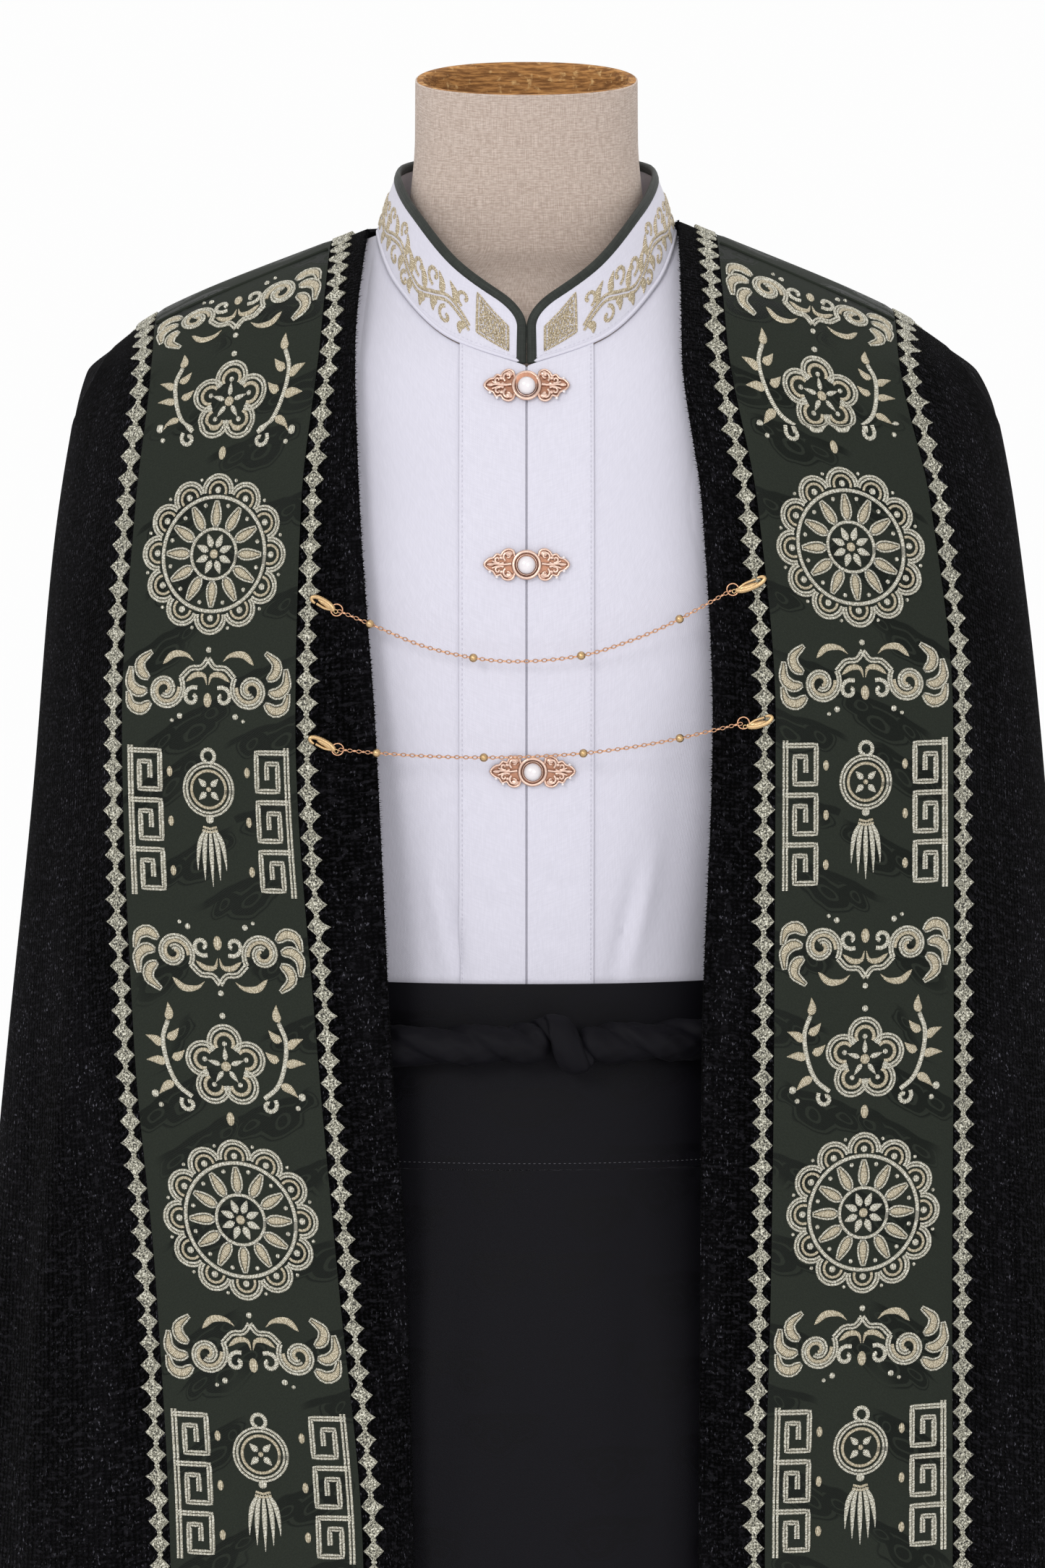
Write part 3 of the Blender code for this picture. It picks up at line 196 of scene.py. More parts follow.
CHAIN_POINTS = 40
UPPER_ROUTE = ((-0.0924, -0.1238, 1.2358), (-0.0747, -0.1243, 1.2284), (-0.0500, -0.1250, 1.2182),
               (-0.0227, -0.1256, 1.2121), (0.0010, -0.1258, 1.2110), (0.0272, -0.1256, 1.2138),
               (0.0490, -0.1251, 1.2203), (0.0714, -0.1244, 1.2298), (0.1004, -0.1236, 1.2458))
LOWER_ROUTE = ((-0.0920, -0.1248, 1.1677), (-0.0736, -0.1254, 1.1660), (-0.0480, -0.1260, 1.1644),
               (-0.0218, -0.1263, 1.1638), (0.0031, -0.1263, 1.1642), (0.0268, -0.1262, 1.1658),
               (0.0500, -0.1258, 1.1686), (0.0746, -0.1252, 1.1731), (0.1057, -0.1240, 1.1805))
BEAD_SHARES = {"upper": (0.083, 0.345, 0.605, 0.857), "lower": (0.093, 0.357, 0.602, 0.842)}

CAPE_FOLDS = Folds(1.230, CAPE_HEM, 0.015, 58.0, 34.0, 8.0)
SKIRT_FOLDS = Folds(0.930, SKIRT_HEM, 0.017, 42.0, 28.0, 4.0)
FOLD_RAMP = 22.0

# Soft folds, listed one by one: a ridge where the depth is positive, a trough where it is negative.
CAPE_CREASES = (
    Crease(FRONT_FACE, -0.2165, 1.120, -0.2640, 0.760, 0.011, 0.0045),
    Crease(FRONT_FACE, -0.2320, 1.060, -0.2790, 0.700, 0.010, -0.0050),
    Crease(FRONT_FACE, -0.2120, 1.290, -0.2250, 1.060, 0.013, -0.0022),
    Crease(FRONT_FACE, 0.2300, 1.260, 0.2450, 0.960, 0.014, -0.0026),
    Crease(FRONT_FACE, 0.2440, 1.080, 0.2660, 0.720, 0.013, 0.0035),
    Crease(FRONT_FACE, -0.0680, 1.020, -0.0520, 0.640, 0.012, -0.0018),
    Crease(FRONT_FACE, 0.0950, 1.100, 0.1000, 0.700, 0.016, -0.0014),
    Crease(BACK_FACE, -0.1500, 1.280, -0.1750, 0.850, 0.020, 0.0040),
    Crease(BACK_FACE, -0.0700, 1.250, -0.0850, 0.700, 0.022, -0.0045),
    Crease(BACK_FACE, 0.0350, 1.300, 0.0500, 0.800, 0.024, 0.0036),
    Crease(BACK_FACE, 0.1400, 1.270, 0.1700, 0.760, 0.020, -0.0042),
)
SHIRT_CREASES = (
    Crease(FRONT_FACE, -0.0300, 1.045, -0.0430, 1.110, 0.0035, -0.0026),
    Crease(FRONT_FACE, -0.0350, 1.045, -0.0490, 1.115, 0.0040, 0.0018),
    Crease(FRONT_FACE, 0.0420, 1.045, 0.0570, 1.112, 0.0035, -0.0028),
    Crease(FRONT_FACE, 0.0480, 1.045, 0.0640, 1.120, 0.0045, 0.0020),
    Crease(FRONT_FACE, -0.0300, 1.325, -0.0050, 1.318, 0.0045, -0.0006),
    Crease(FRONT_FACE, -0.0280, 1.296, -0.0060, 1.288, 0.0050, -0.0006),
    Crease(FRONT_FACE, 0.0060, 1.304, 0.0280, 1.300, 0.0050, -0.0005),
    Crease(FRONT_FACE, -0.0260, 1.236, -0.0040, 1.230, 0.0045, -0.0005),
    Crease(FRONT_FACE, 0.0050, 1.104, 0.0270, 1.096, 0.0045, -0.0007),
    Crease(FRONT_FACE, -0.0280, 1.093, -0.0040, 1.086, 0.0045, -0.0007),
    Crease(FRONT_FACE, 0.0040, 1.078, 0.0280, 1.070, 0.0040, -0.0006),
    Crease(FRONT_FACE, -0.0750, 1.200, -0.0600, 1.060, 0.0120, -0.0016),
    Crease(FRONT_FACE, 0.0780, 1.190, 0.0700, 1.060, 0.0120, -0.0018),
    Crease(BACK_FACE, -0.0500, 1.180, -0.0420, 0.980, 0.0100, -0.0020),
    Crease(BACK_FACE, 0.0480, 1.170, 0.0400, 0.980, 0.0100, -0.0020),
)
SKIRT_CREASES = (
    Crease(FRONT_FACE, -0.0330, 0.950, -0.0450, 0.740, 0.010, -0.0012),
    Crease(FRONT_FACE, 0.0520, 0.945, 0.0600, 0.720, 0.012, -0.0012),
    Crease(FRONT_FACE, -0.0300, 1.002, 0.0500, 0.990, 0.006, -0.0004),
)

# Steps of the cape's grids: rows down a front, and rows between the named rows of the back.
FRONT_ROWS = np.concatenate((np.linspace(0, 1, 25), np.linspace(1, 2, 121)[1:]))
BACK_STEPS = (2, 3, 1, 22, 1, 3, 4, 5, 6, 6, 7, 8, 8, 9, 9, 11, 11, 13, 14, 14, 14)

# Lace: the lozenge's outline power, its height in millimetres, its rings as shares of width and height,
# and the lines of the cape on which it lies.
LACE_POINT = 0.90
LACE_HEIGHT = 1.3
LACE_RINGS = ((1.0, 0.0), (1.0, 0.6), (0.90, 1.0), (0.78, 0.9), (0.66, 0.55), (0.40, 0.62), (0.14, 0.80))
LACE_LINES = (("inner", 1.5), ("outer", 5.5))

# A cord broader than TWIN_FROM is stitched as two cords of TWIN_HALF, all in millimetres.
TWIN_FROM = 1.2
TWIN_HALF = 0.62
BAND_MM = 94.0
BACK_BAND_MM = 96.0

# Sewing: one stitch, the rolled binding's half width and depth, and the torso's girth for its weave.
STITCH_LENGTH, STITCH_GAP, STITCH_RADIUS = 0.0012, 0.0013, 0.00017
BINDING_WIDE, BINDING_DEEP = 0.0026, 0.0015
FORM_GIRTH = 0.9

# The collar's drawing: millimetres to a degree, its height in millimetres, and the share of the height
# that the binding leaves free.
COLLAR_MM = 1.28
COLLAR_ROOM = 32.0
COLLAR_FREE = 0.86

# Settings that many shader nodes share.
TIMES, PLUS, TIMES_PLUS = ({"operation": name} for name in ("MULTIPLY", "ADD", "MULTIPLY_ADD"))
SMOOTH = {"interpolation_type": "SMOOTHSTEP"}
BLEND = {"data_type": "RGBA", "out": 2}

# Round lobes of one woven cloud: place and radius, as shares of the figure's size.
CLOUD_LOBES = ((-0.22, -0.04, 0.15), (-0.03, 0.08, 0.23), (0.22, -0.02, 0.17))


def linear(code):
    """Turn an sRGB hex value into linear red, green and blue, with a full alpha."""
    parts = [int(code[k:k + 2], 16) / 255 for k in (1, 3, 5)]
    return (*(part / 12.92 if part <= 0.04045 else ((part + 0.055) / 1.055) ** 2.4 for part in parts), 1.0)


def track(rows, column, key="z"):
    """A smooth curve through one column of a table, the same one as the solids use."""
    points = sorted((getattr(row, key), getattr(row, column)) for row in rows)
    keys = [point[0] for point in points]
    values = [point[1] for point in points]
    slopes = [(values[i + 1] - values[i]) / (keys[i + 1] - keys[i]) for i in range(len(keys) - 1)]
    tangents = [slopes[0]]
    for before, after in zip(slopes, slopes[1:]):
        tangents.append(2 * before * after / (before + after) if before * after > 0 else 0.0)
    tangents.append(slopes[-1])
    reach = keys[-1] - keys[0]
    fine, heights = [keys[0] - reach], [values[0] - tangents[0] * reach]
    steps = 160
    for i in range(len(keys) - 1):
        span = keys[i + 1] - keys[i]
        t = np.arange(steps) / steps
        fine.extend(keys[i] + span * t)
        heights.extend(values[i] + (values[i + 1] - values[i]) * t * t * (3 - 2 * t)
                       + t * (1 - t) ** 2 * span * tangents[i] - t * t * (1 - t) * span * tangents[i + 1])
    fine.extend((keys[-1], keys[-1] + reach))
    heights.extend((values[-1], values[-1] + tangents[-1] * reach))
    return lambda where: np.interp(where, fine, heights)


def fold_height(folds, turn, z):
    """Height of the regular folds, which grow from their start down to their end."""
    if folds is None:
        return 0.0
    around = np.abs((turn + 180) % 360 - 180)
    window = np.clip((around - folds.quiet) / FOLD_RAMP, 0.0, 1.0)
    growth = np.clip((folds.start - z) / (folds.start - folds.end), 0.0, None) ** 1.25
    return folds.depth * growth * window * np.cos(np.radians(360 * (around - folds.phase) / folds.pitch))


def crease_height(creases, x, z, front):
    """The sum of soft ridges and troughs, each along a line, fading at its ends."""
    total = np.zeros(np.broadcast(x, z).shape)
    for crease in creases:
        along = np.array((crease.x1 - crease.x0, crease.z1 - crease.z0))
        length = np.hypot(*along)
        along = along / length
        s = ((x - crease.x0) * along[0] + (z - crease.z0) * along[1]) / length
        away = (x - crease.x0) * -along[1] + (z - crease.z0) * along[0]
        fade = np.sin(np.pi * np.clip(s * 0.8 + 0.1, 0, 1)) ** 1.5 * ((s > -0.12) & (s < 1.12))
        here = front if crease.face == FRONT_FACE else ~front
        total = total + crease.depth * np.exp(-(away / crease.width) ** 2) * fade * here
    return total


def unit(vectors):
    """Vectors shortened or stretched to a length of one."""
    return vectors / np.maximum(np.linalg.norm(vectors, axis=-1, keepdims=True), 1e-12)


def ray(angle):
    """Cosine and sine of an angle in degrees."""
    return math.cos(math.radians(angle)), math.sin(math.radians(angle))


def heading(line, closed=False):
    """The direction of a line at each of its points."""
    ahead, behind = np.roll(line, -1, 0), np.roll(line, 1, 0)
    if not closed:
        ahead[-1], behind[0] = line[-1], line[0]
    return unit(ahead - behind)


def hoop(middle, first, second, count):
    """Points round an oval, from its middle and its two half axes."""
    angles = np.linspace(0, 2 * math.pi, count + 1)[:-1, None]
    return middle + first * np.cos(angles) + second * np.sin(angles)


def ring_faces(count, sides, closed=False, base=0):
    """Quads of a tube through count rings, then a cap at each end unless it closes on itself."""
    faces = []
    for k in range(count if closed else count - 1):
        a, b = base + k * sides, base + (k + 1) % count * sides
        faces += [(a + j, a + (j + 1) % sides, b + (j + 1) % sides, b + j) for j in range(sides)]
    if not closed:
        end = base + count * sides
        faces += [tuple(range(base + sides - 1, base - 1, -1)), tuple(range(end - sides, end))]
    return faces


def ring_uv(across, runs):
    """Cloth coordinates for ring_faces, from the distances round the rings and along them."""
    uv = [spot for low, high in zip(runs, runs[1:]) for left, right in zip(across, across[1:])
          for spot in ((left, low), (right, low), (right, high), (left, high))]
    return uv + [(0.0, 0.0)] * 2 * (len(across) - 1)


class Skin:
    """A cloth surface of level sections, each a rounded oval with its own sides, front and back."""

    def __init__(self, left, right, depth, power, folds=None, creases=()):
        self.left, self.right = track(left, "half"), track(right, "half")
        self.front, self.back = track(depth, "front"), track(depth, "back")
        self.power, self.folds, self.creases = power, folds, creases
        heights = np.linspace(1.30, 1.44, 1401)
        self.heights = heights
        self.ridges = {-1: self.left(heights), 1: self.right(heights)}

    def half(self, side, z):
        return np.where(np.asarray(side) > 0, self.right(z), self.left(z))

    def turn_at(self, x, z):
        share = np.minimum(np.abs(x) / self.half(x, z), 1.0)
        return np.degrees(np.arcsin(share ** (self.power / 2)))

    def point(self, turn, z):
        turn, z = np.broadcast_arrays(np.asarray(turn, float), np.asarray(z, float))
        sine, cosine = np.sin(np.radians(turn)), np.cos(np.radians(turn))
        half = self.half(sine, z)
        depth = np.where(cosine >= 0, self.front(z), self.back(z))
        x = half * np.sign(sine) * np.abs(sine) ** (2 / self.power)
        y = -depth * np.sign(cosine) * np.abs(cosine) ** (2 / self.power)
        out = unit(np.stack((x / half ** 2, y / depth ** 2, np.zeros_like(x)), axis=-1))
        height = fold_height(self.folds, turn, z) + crease_height(self.creases, x, z, cosine > 0)
        return np.stack((x, y, z), axis=-1) + out * np.asarray(height)[..., None]

    def normal(self, turn, z):
        across = self.point(turn + 0.6, z) - self.point(turn - 0.6, z)
        down = self.point(turn, z - 0.001) - self.point(turn, z + 0.001)
        return unit(np.cross(down, across))

    def ridge(self, side, x):
        """The height at which the shoulder's outline is as wide as x."""
        widths = self.ridges[side]
        start = int(np.argmax(widths))
        return np.interp(-np.abs(x), -widths[start:], self.heights[start:])


CAPE = Skin(CAPE_LEFT, CAPE_RIGHT, CAPE_DEPTH, CAPE_POWER, CAPE_FOLDS, CAPE_CREASES)
SHIRT = Skin(SHIRT_HALF, SHIRT_HALF, SHIRT_DEPTH, SHIRT_POWER, None, SHIRT_CREASES)
SKIRT = Skin(SKIRT_HALF, SKIRT_HALF, SKIRT_DEPTH, SKIRT_POWER, SKIRT_FOLDS, SKIRT_CREASES)
NECK_HEIGHT = track(NECK_SEAM, "z", "turn")
COLLAR_HEIGHT = track(COLLAR_TOP, "z", "turn")
ARM_TURN = track(ARMHOLE, "turn")


class CapeFront:
    """Places on one front of the cape: a line number across and a row number down.

    Lines run from the open edge, 0, to the side seam, 7. Rows run from the
    shoulder, 0, to the foot of the shoulder, 1, and on to the hem, 2.
    """

    def __init__(self, side):
        self.side = side
        table = FRONT_RIGHT if side > 0 else FRONT_LEFT
        self.edge, self.inner, self.outer = (track(table, name) for name in ("edge", "inner", "outer"))
        numbers = np.linspace(0, OUTER_FAR, 121)
        tops = np.full(numbers.shape, SHOULDER_FOOT)
        for _ in range(12):
            tops = CAPE.ridge(side, self.across(numbers, tops))
        xs = self.across(numbers, tops)
        end = float(CAPE.half(side, CAPE_CORNER))
        beyond = np.linspace(0, 1, 21)[1:]
        self.numbers = np.concatenate((numbers, OUTER_FAR + beyond))
        self.top_x = np.concatenate((xs, xs[-1] + (end - xs[-1]) * beyond))
        self.top_z = np.concatenate((tops, CAPE.ridge(side, xs[-1] + (end - xs[-1]) * beyond)))

    def across(self, number, z):
        inner, outer = self.inner(z), self.outer(z)
        lines = np.stack((self.edge(z) + 0 * inner, inner - SEAM_GAP - TRIM_WIDTH, inner - SEAM_GAP, inner,
                          outer, outer + SEAM_GAP, outer + SEAM_GAP + TRIM_WIDTH))
        number = np.clip(np.broadcast_to(number, lines.shape[1:]), 0, OUTER_FAR)
        low = np.minimum(number.astype(int), OUTER_FAR - 1)
        part = number - low
        first = np.take_along_axis(lines, low[None], 0)[0]
        second = np.take_along_axis(lines, low[None] + 1, 0)[0]
        return first + (second - first) * part

    def body_turn(self, number, z):
        near = CAPE.turn_at(self.side * self.across(number, z), z)
        share = np.clip(number - OUTER_FAR, 0, 1)
        return near + (90.0 - near) * share

    def place(self, number, row):
        number, row = np.broadcast_arrays(np.asarray(number, float), np.asarray(row, float))
        top = np.interp(number, self.numbers, self.top_z)
        share = np.clip(row, 0, 1) ** 1.6
        z = np.where(row <= 1, top + (SHOULDER_FOOT - top) * share,
                     SHOULDER_FOOT - (row - 1) * (SHOULDER_FOOT - CAPE_HEM))
        x = np.interp(number, self.numbers, self.top_x)
        foot = self.body_turn(number, np.full(number.shape, SHOULDER_FOOT))
        foot_x = np.abs(CAPE.point(self.side * foot, SHOULDER_FOOT)[..., 0])
        high = CAPE.turn_at(self.side * (x + (foot_x - x) * share), z)
        turn = np.where((row < 1) & (number > OUTER_FAR), high, self.body_turn(number, z))
        turn = np.where((row <= 0) | (number >= SIDE_LINE), 90.0, turn)
        return self.side * turn, z

    def knots(self, number, row):
        turn, z = self.place(number, row)
        return CAPE.point(turn, z), CAPE.normal(turn, z)

    def rows_along(self, number, spacing, start=0.0, end=2.0):
        """Rows at an even distance along the cloth on one line, and the length."""
        rows = np.linspace(start, end, 1600)
        lengths = run_lengths(CAPE.point(*self.place(number, rows)))
        count = max(2, round(lengths[-1] / spacing) + 1)
        return np.interp(np.linspace(0, lengths[-1], count), lengths, rows), lengths[-1]


class CapeBack:
    """Places on the back of the cape: a row number down and the turn across."""

    def __init__(self, fronts):
        left, right = fronts[-1], fronts[1]
        lines = np.arange(7)
        left_x = np.interp(lines, left.numbers, left.top_x)
        left_z = np.interp(lines, left.numbers, left.top_z)
        right_z = np.interp(lines, right.numbers, right.top_z)
        heights = CAPE_NAPE - np.arange(0, 400) * 0.0005
        falls = run_lengths(CAPE.point(180.0, heights))
        along = list((left_x - left_x[0]) * 1.085) + [0.135, 0.162]
        middle = list(np.interp(along, falls, heights))
        rows = (1.285, 1.240, 1.190, 1.135, 1.075, 1.010, 0.940, 0.860, 0.776, 0.680, 0.570, 0.460, CAPE_HEM)
        low = middle[-1]
        for number, z in enumerate(rows):
            share = min((number + 1) / 6, 1.0)
            middle.append(low - (low - rows[5]) * share if number < 6 else z)
        self.left = list(left_z) + [1.352, SHOULDER_FOOT, *rows]
        self.right = list(right_z) + [1.352, SHOULDER_FOOT, *rows]
        self.middle = middle
        self.last = len(middle) - 1

    def place(self, row, turn):
        row, turn = np.broadcast_arrays(np.asarray(row, float), np.asarray(turn, float))
        numbers = np.arange(self.last + 1)
        away = (-turn - 90.0) / 90.0
        share = np.sin(np.radians(90 * np.where(away <= 1, away, 2 - away)).clip(0)) ** 1.1
        side_z = np.where(away <= 1, np.interp(row, numbers, self.left), np.interp(row, numbers, self.right))
        return turn, side_z + (np.interp(row, numbers, self.middle) - side_z) * share

    def knots(self, row, turn):
        turn, z = self.place(row, turn)
        return CAPE.point(turn, z), CAPE.normal(turn, z)


def run_lengths(points):
    """Distance along a line at each of its points."""
    steps = np.linalg.norm(np.diff(points, axis=0), axis=-1)
    return np.concatenate(((0.0,), np.cumsum(steps)))


FRONTS = {side: CapeFront(side) for side in (-1, 1)}
BACK = CapeBack(FRONTS)


def make_mesh(name, vertices, faces, materials, uv=None, smooth=True, sharp=None):
    """Make a mesh object. uv holds one pair for each face corner, in metres on the cloth."""
    mesh = bpy.data.meshes.new(name)
    mesh.from_pydata(np.asarray(vertices).tolist(), [], [tuple(map(int, face)) for face in faces])
    if uv is not None:
        layer = mesh.uv_layers.new(name="cloth")
        layer.data.foreach_set("uv", np.asarray(uv, dtype=np.float32).ravel())
    for material in materials if isinstance(materials, (list, tuple)) else (materials,):
        mesh.materials.append(material)
    if smooth:
        mesh.shade_smooth()
        if sharp:
            mesh.set_sharp_from_angle(angle=math.radians(sharp))
    piece = bpy.data.objects.new(name, mesh)
    bpy.context.scene.collection.objects.link(piece)
    return piece


def add_cloth(name, points, normals, low, high, material, round_and_round=False, soft=0.35):
    """A thin closed wall over a grid of points. Its rims are eased by the share soft."""
    rows, columns = points.shape[:2]
    last = columns if round_and_round else columns - 1
    rim = np.zeros((rows, columns))
    rim[[0, -1], :] = soft
    if not round_and_round:
        rim[:, [0, -1]] = soft
    ease = (rim * (high - low) / 2)[..., None]
    outer = points + normals * (high - ease)
    inner = points + normals * (low + ease)
    vertices = np.concatenate((outer.reshape(-1, 3), inner.reshape(-1, 3)))
    ring = np.concatenate((points, points[:, :1]), axis=1) if round_and_round else points
    middle = rows // 2
    u = np.tile(run_lengths(ring[middle]), (rows, 1))
    v = np.concatenate((np.zeros((1, ring.shape[1])), np.cumsum(
        np.linalg.norm(np.diff(ring, axis=0), axis=-1), axis=0)))
    row, column = np.meshgrid(np.arange(rows - 1), np.arange(last), indexing="ij")
    corners = [(row, column), (row, column + 1), (row + 1, column + 1), (row + 1, column)]
    number = np.stack([r * columns + c % columns for r, c in corners], -1).reshape(-1, 4)
    spot = np.stack([np.stack((u[r, c], v[r, c]), -1) for r, c in corners], 2).reshape(-1, 4, 2)
    first = vertices[number[len(number) // 2]]
    facing = np.dot(np.cross(first[1] - first[0], first[2] - first[1]),
                    normals.reshape(-1, 3)[number[len(number) // 2][0]])
    if facing < 0:
        number, spot = number[:, ::-1], spot[:, ::-1]
    faces = list(number) + list(number[:, ::-1] + rows * columns)
    spots = [spot, spot[:, ::-1]]
    borders = [[(0, c) for c in range(columns)], [(rows - 1, c) for c in reversed(range(columns))]]
    if round_and_round:
        borders = [border + [border[0]] for border in borders]
    else:
        borders += [[(r, columns - 1) for r in range(rows)], [(r, 0) for r in reversed(range(rows))]]
    rims, rim_spots = [], []
    for border in borders:
        for one, other in zip(border, border[1:]):
            a, b = one[0] * columns + one[1], other[0] * columns + other[1]
            face = [a, b, b + rows * columns, a + rows * columns]
            if facing >= 0:
                face.reverse()
            rims.append(face)
            rim_spots.append([(u[one], v[one])] * 4)
    faces += rims
    uv = np.concatenate([part.reshape(-1, 2) for part in spots] + [np.array(rim_spots).reshape(-1, 2)])
    return make_mesh(name, vertices, faces, material, uv, sharp=50)


def sheet_facts(points, round_and_round=False):
    """Width, length and area of a grid, laid flat."""
    ring = np.concatenate((points, points[:, :1]), axis=1) if round_and_round else points
    width = max(run_lengths(row)[-1] for row in ring)
    length = max(run_lengths(column)[-1] for column in ring.transpose(1, 0, 2)[::4])
    first = np.cross(ring[1:, :-1] - ring[:-1, :-1], ring[:-1, 1:] - ring[:-1, :-1])
    second = np.cross(ring[1:, :-1] - ring[1:, 1:], ring[:-1, 1:] - ring[1:, 1:])
    area = (np.linalg.norm(first, axis=-1).sum() + np.linalg.norm(second, axis=-1).sum()) / 2
    return width, length, min(max(area, 0.31 * width * length), width * length)


def place_piece(piece, nodes=(), sheet=None):
    """Let a piece ride on the one body, and hide the parts of the model that it stands for."""
    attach(piece, "root")
    if nodes:
        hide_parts(*nodes)
    if sheet:
        width, length, area = sheet
        width, length = round(width, 3), round(length, 3)
        math.floor(min(area, width * length) * 0.998e6) / 1e6
    return piece


def lay_cloth(name, points, normals, low, high, finish, node, closed=False, soft=0.35):
    piece = add_cloth(name, points, normals, low, high, finishes()[finish], closed, soft)
    return place_piece(piece, [node], sheet_facts(points, closed))


class Relief:
    """Raised shapes drawn in millimetres on a cloth: across, along and height."""

    def __init__(self):
        self.spots, self.faces, self.uv, self.marks = [], [], [], []
        self.count = 0

    def add(self, spots, faces, uv, marks=0):
        """Add a closed shape. marks is the material's number, for all of it or for each face."""
        self.spots.append(np.asarray(spots, float))
        for face in faces:
            self.faces.append([self.count + k for k in face])
            self.uv.extend(uv[k] for k in face)
        self.marks.extend(marks if isinstance(marks, list) else [marks] * len(faces))
        self.count += len(spots)

    def ribbon(self, line, half, height, closed=False, mark=0):
        """A rounded cord of stitches along a drawn line."""
        line = np.asarray(line, float)
        along = heading(line, closed)
        side = np.stack((-along[:, 1], along[:, 0]), 1)
        width = np.broadcast_to(half, (len(line),))
        profile = ((-1.0, 0.0), (-0.72, 0.72), (0.0, 1.0), (0.72, 0.72), (1.0, 0.0))
        spots, uv = [], []
        for point, across, w, s in zip(line, side, width, run_lengths(line)):
            for reach, rise in profile:
                spots.append((*(point + across * w * reach), rise * height * min(1.0, w / 0.7)))
                uv.append((s * MM, reach * w * MM))
        self.add(spots, ring_faces(len(line), len(profile), closed), uv, mark)

    def dome(self, x, y, wide, tall, height, sides=12, mark=0):
        """A filled, rounded spot of stitches."""
        spots, uv = [(x, y, height)], [(x * MM, y * MM)]
        rings = ((0.55, 0.86), (0.88, 0.45), (1.0, 0.0))
        for share, rise in rings:
            for k in range(sides):
                angle = 2 * math.pi * k / sides
                spot = (x + wide * share * math.cos(angle), y + tall * share * math.sin(angle), height * rise)
                spots.append(spot)
                uv.append((spot[0] * MM, spot[1] * MM))
        faces = [(0, 1 + k, 1 + (k + 1) % sides) for k in range(sides)]
        for ring in range(len(rings) - 1):
            for k in range(sides):
                a, b = 1 + ring * sides + k, 1 + ring * sides + (k + 1) % sides
                faces.append((a, a + sides, b + sides, b))
        faces.append(tuple(reversed(range(1 + (len(rings) - 1) * sides, 1 + len(rings) * sides))))
        self.add(spots, faces, uv, mark)

    def build(self, name, surface, materials, base=0.0):
        """surface turns across and along, in millimetres, into points and normals."""
        spots = np.concatenate(self.spots)
        points, normals = surface(spots[:, 0], spots[:, 1])
        vertices = points + normals * (base + spots[:, 2:3] * MM)
        piece = make_mesh(name, vertices, self.faces, materials, self.uv, sharp=60)
        piece.data.polygons.foreach_set("material_index", self.marks)
        return piece


class Finish:
    """One material. add puts in a node, and wear sets or links the shader's own sockets."""

    def __init__(self, name):
        self.material = bpy.data.materials.new(name)
        self.material.use_nodes = True
        self.tree = self.material.node_tree

    def feed(self, socket, value):
        if isinstance(value, bpy.types.NodeSocket):
            self.tree.links.new(value, socket)
        else:
            socket.default_value = value

    def add(self, kind, *values, out=0, **settings):
        """Add one node. Values fill its inputs in order, or go by the input's own name."""
        node = self.tree.nodes.new("ShaderNode" + kind)
        sockets = {socket.identifier: socket for socket in node.inputs}
        named = {name: settings.pop(name) for name in sockets if name in settings}
        for name, value in settings.items():
            setattr(node, name, value)
        for name, value in (*zip(sockets, values), *named.items()):
            self.feed(sockets[name], value)
        return node.outputs[out]

    def wear(self, **sockets):
        shader = self.tree.nodes["Principled BSDF"]
        for name, value in sockets.items():
            self.feed(shader.inputs[name.replace("_", " ")], value)
        return self.material

    def cloth_spot(self):
        """Across and along on the cloth, in millimetres: together, and one by one."""
        spot = self.add("VectorMath", self.add("UVMap", uv_map="cloth"), Scale=1000.0, operation="SCALE")
        parts = self.add("SeparateXYZ", spot).node
        return spot, parts.outputs[0], parts.outputs[1]

    def stripes(self, value, pitch, wobble=None):
        """A wave from 0 to 1 that repeats at each pitch, in millimetres."""
        phase = self.add("Math", value, 2 * math.pi / pitch, **TIMES)
        if wobble is not None:
            phase = self.add("Math", phase, wobble, **PLUS)
        return self.add("Math", self.add("Math", phase, operation="SINE"), 0.5, 0.5, **TIMES_PLUS)

    def speckle(self, spot, size, detail=2.0, stretch=(1, 1, 1)):
        """Cloudy noise whose grain is about size millimetres."""
        moved = self.add("VectorMath", spot, tuple(part / size for part in stretch), operation="MULTIPLY")
        return self.add("TexNoise", Vector=moved, Scale=1.0, Detail=detail)


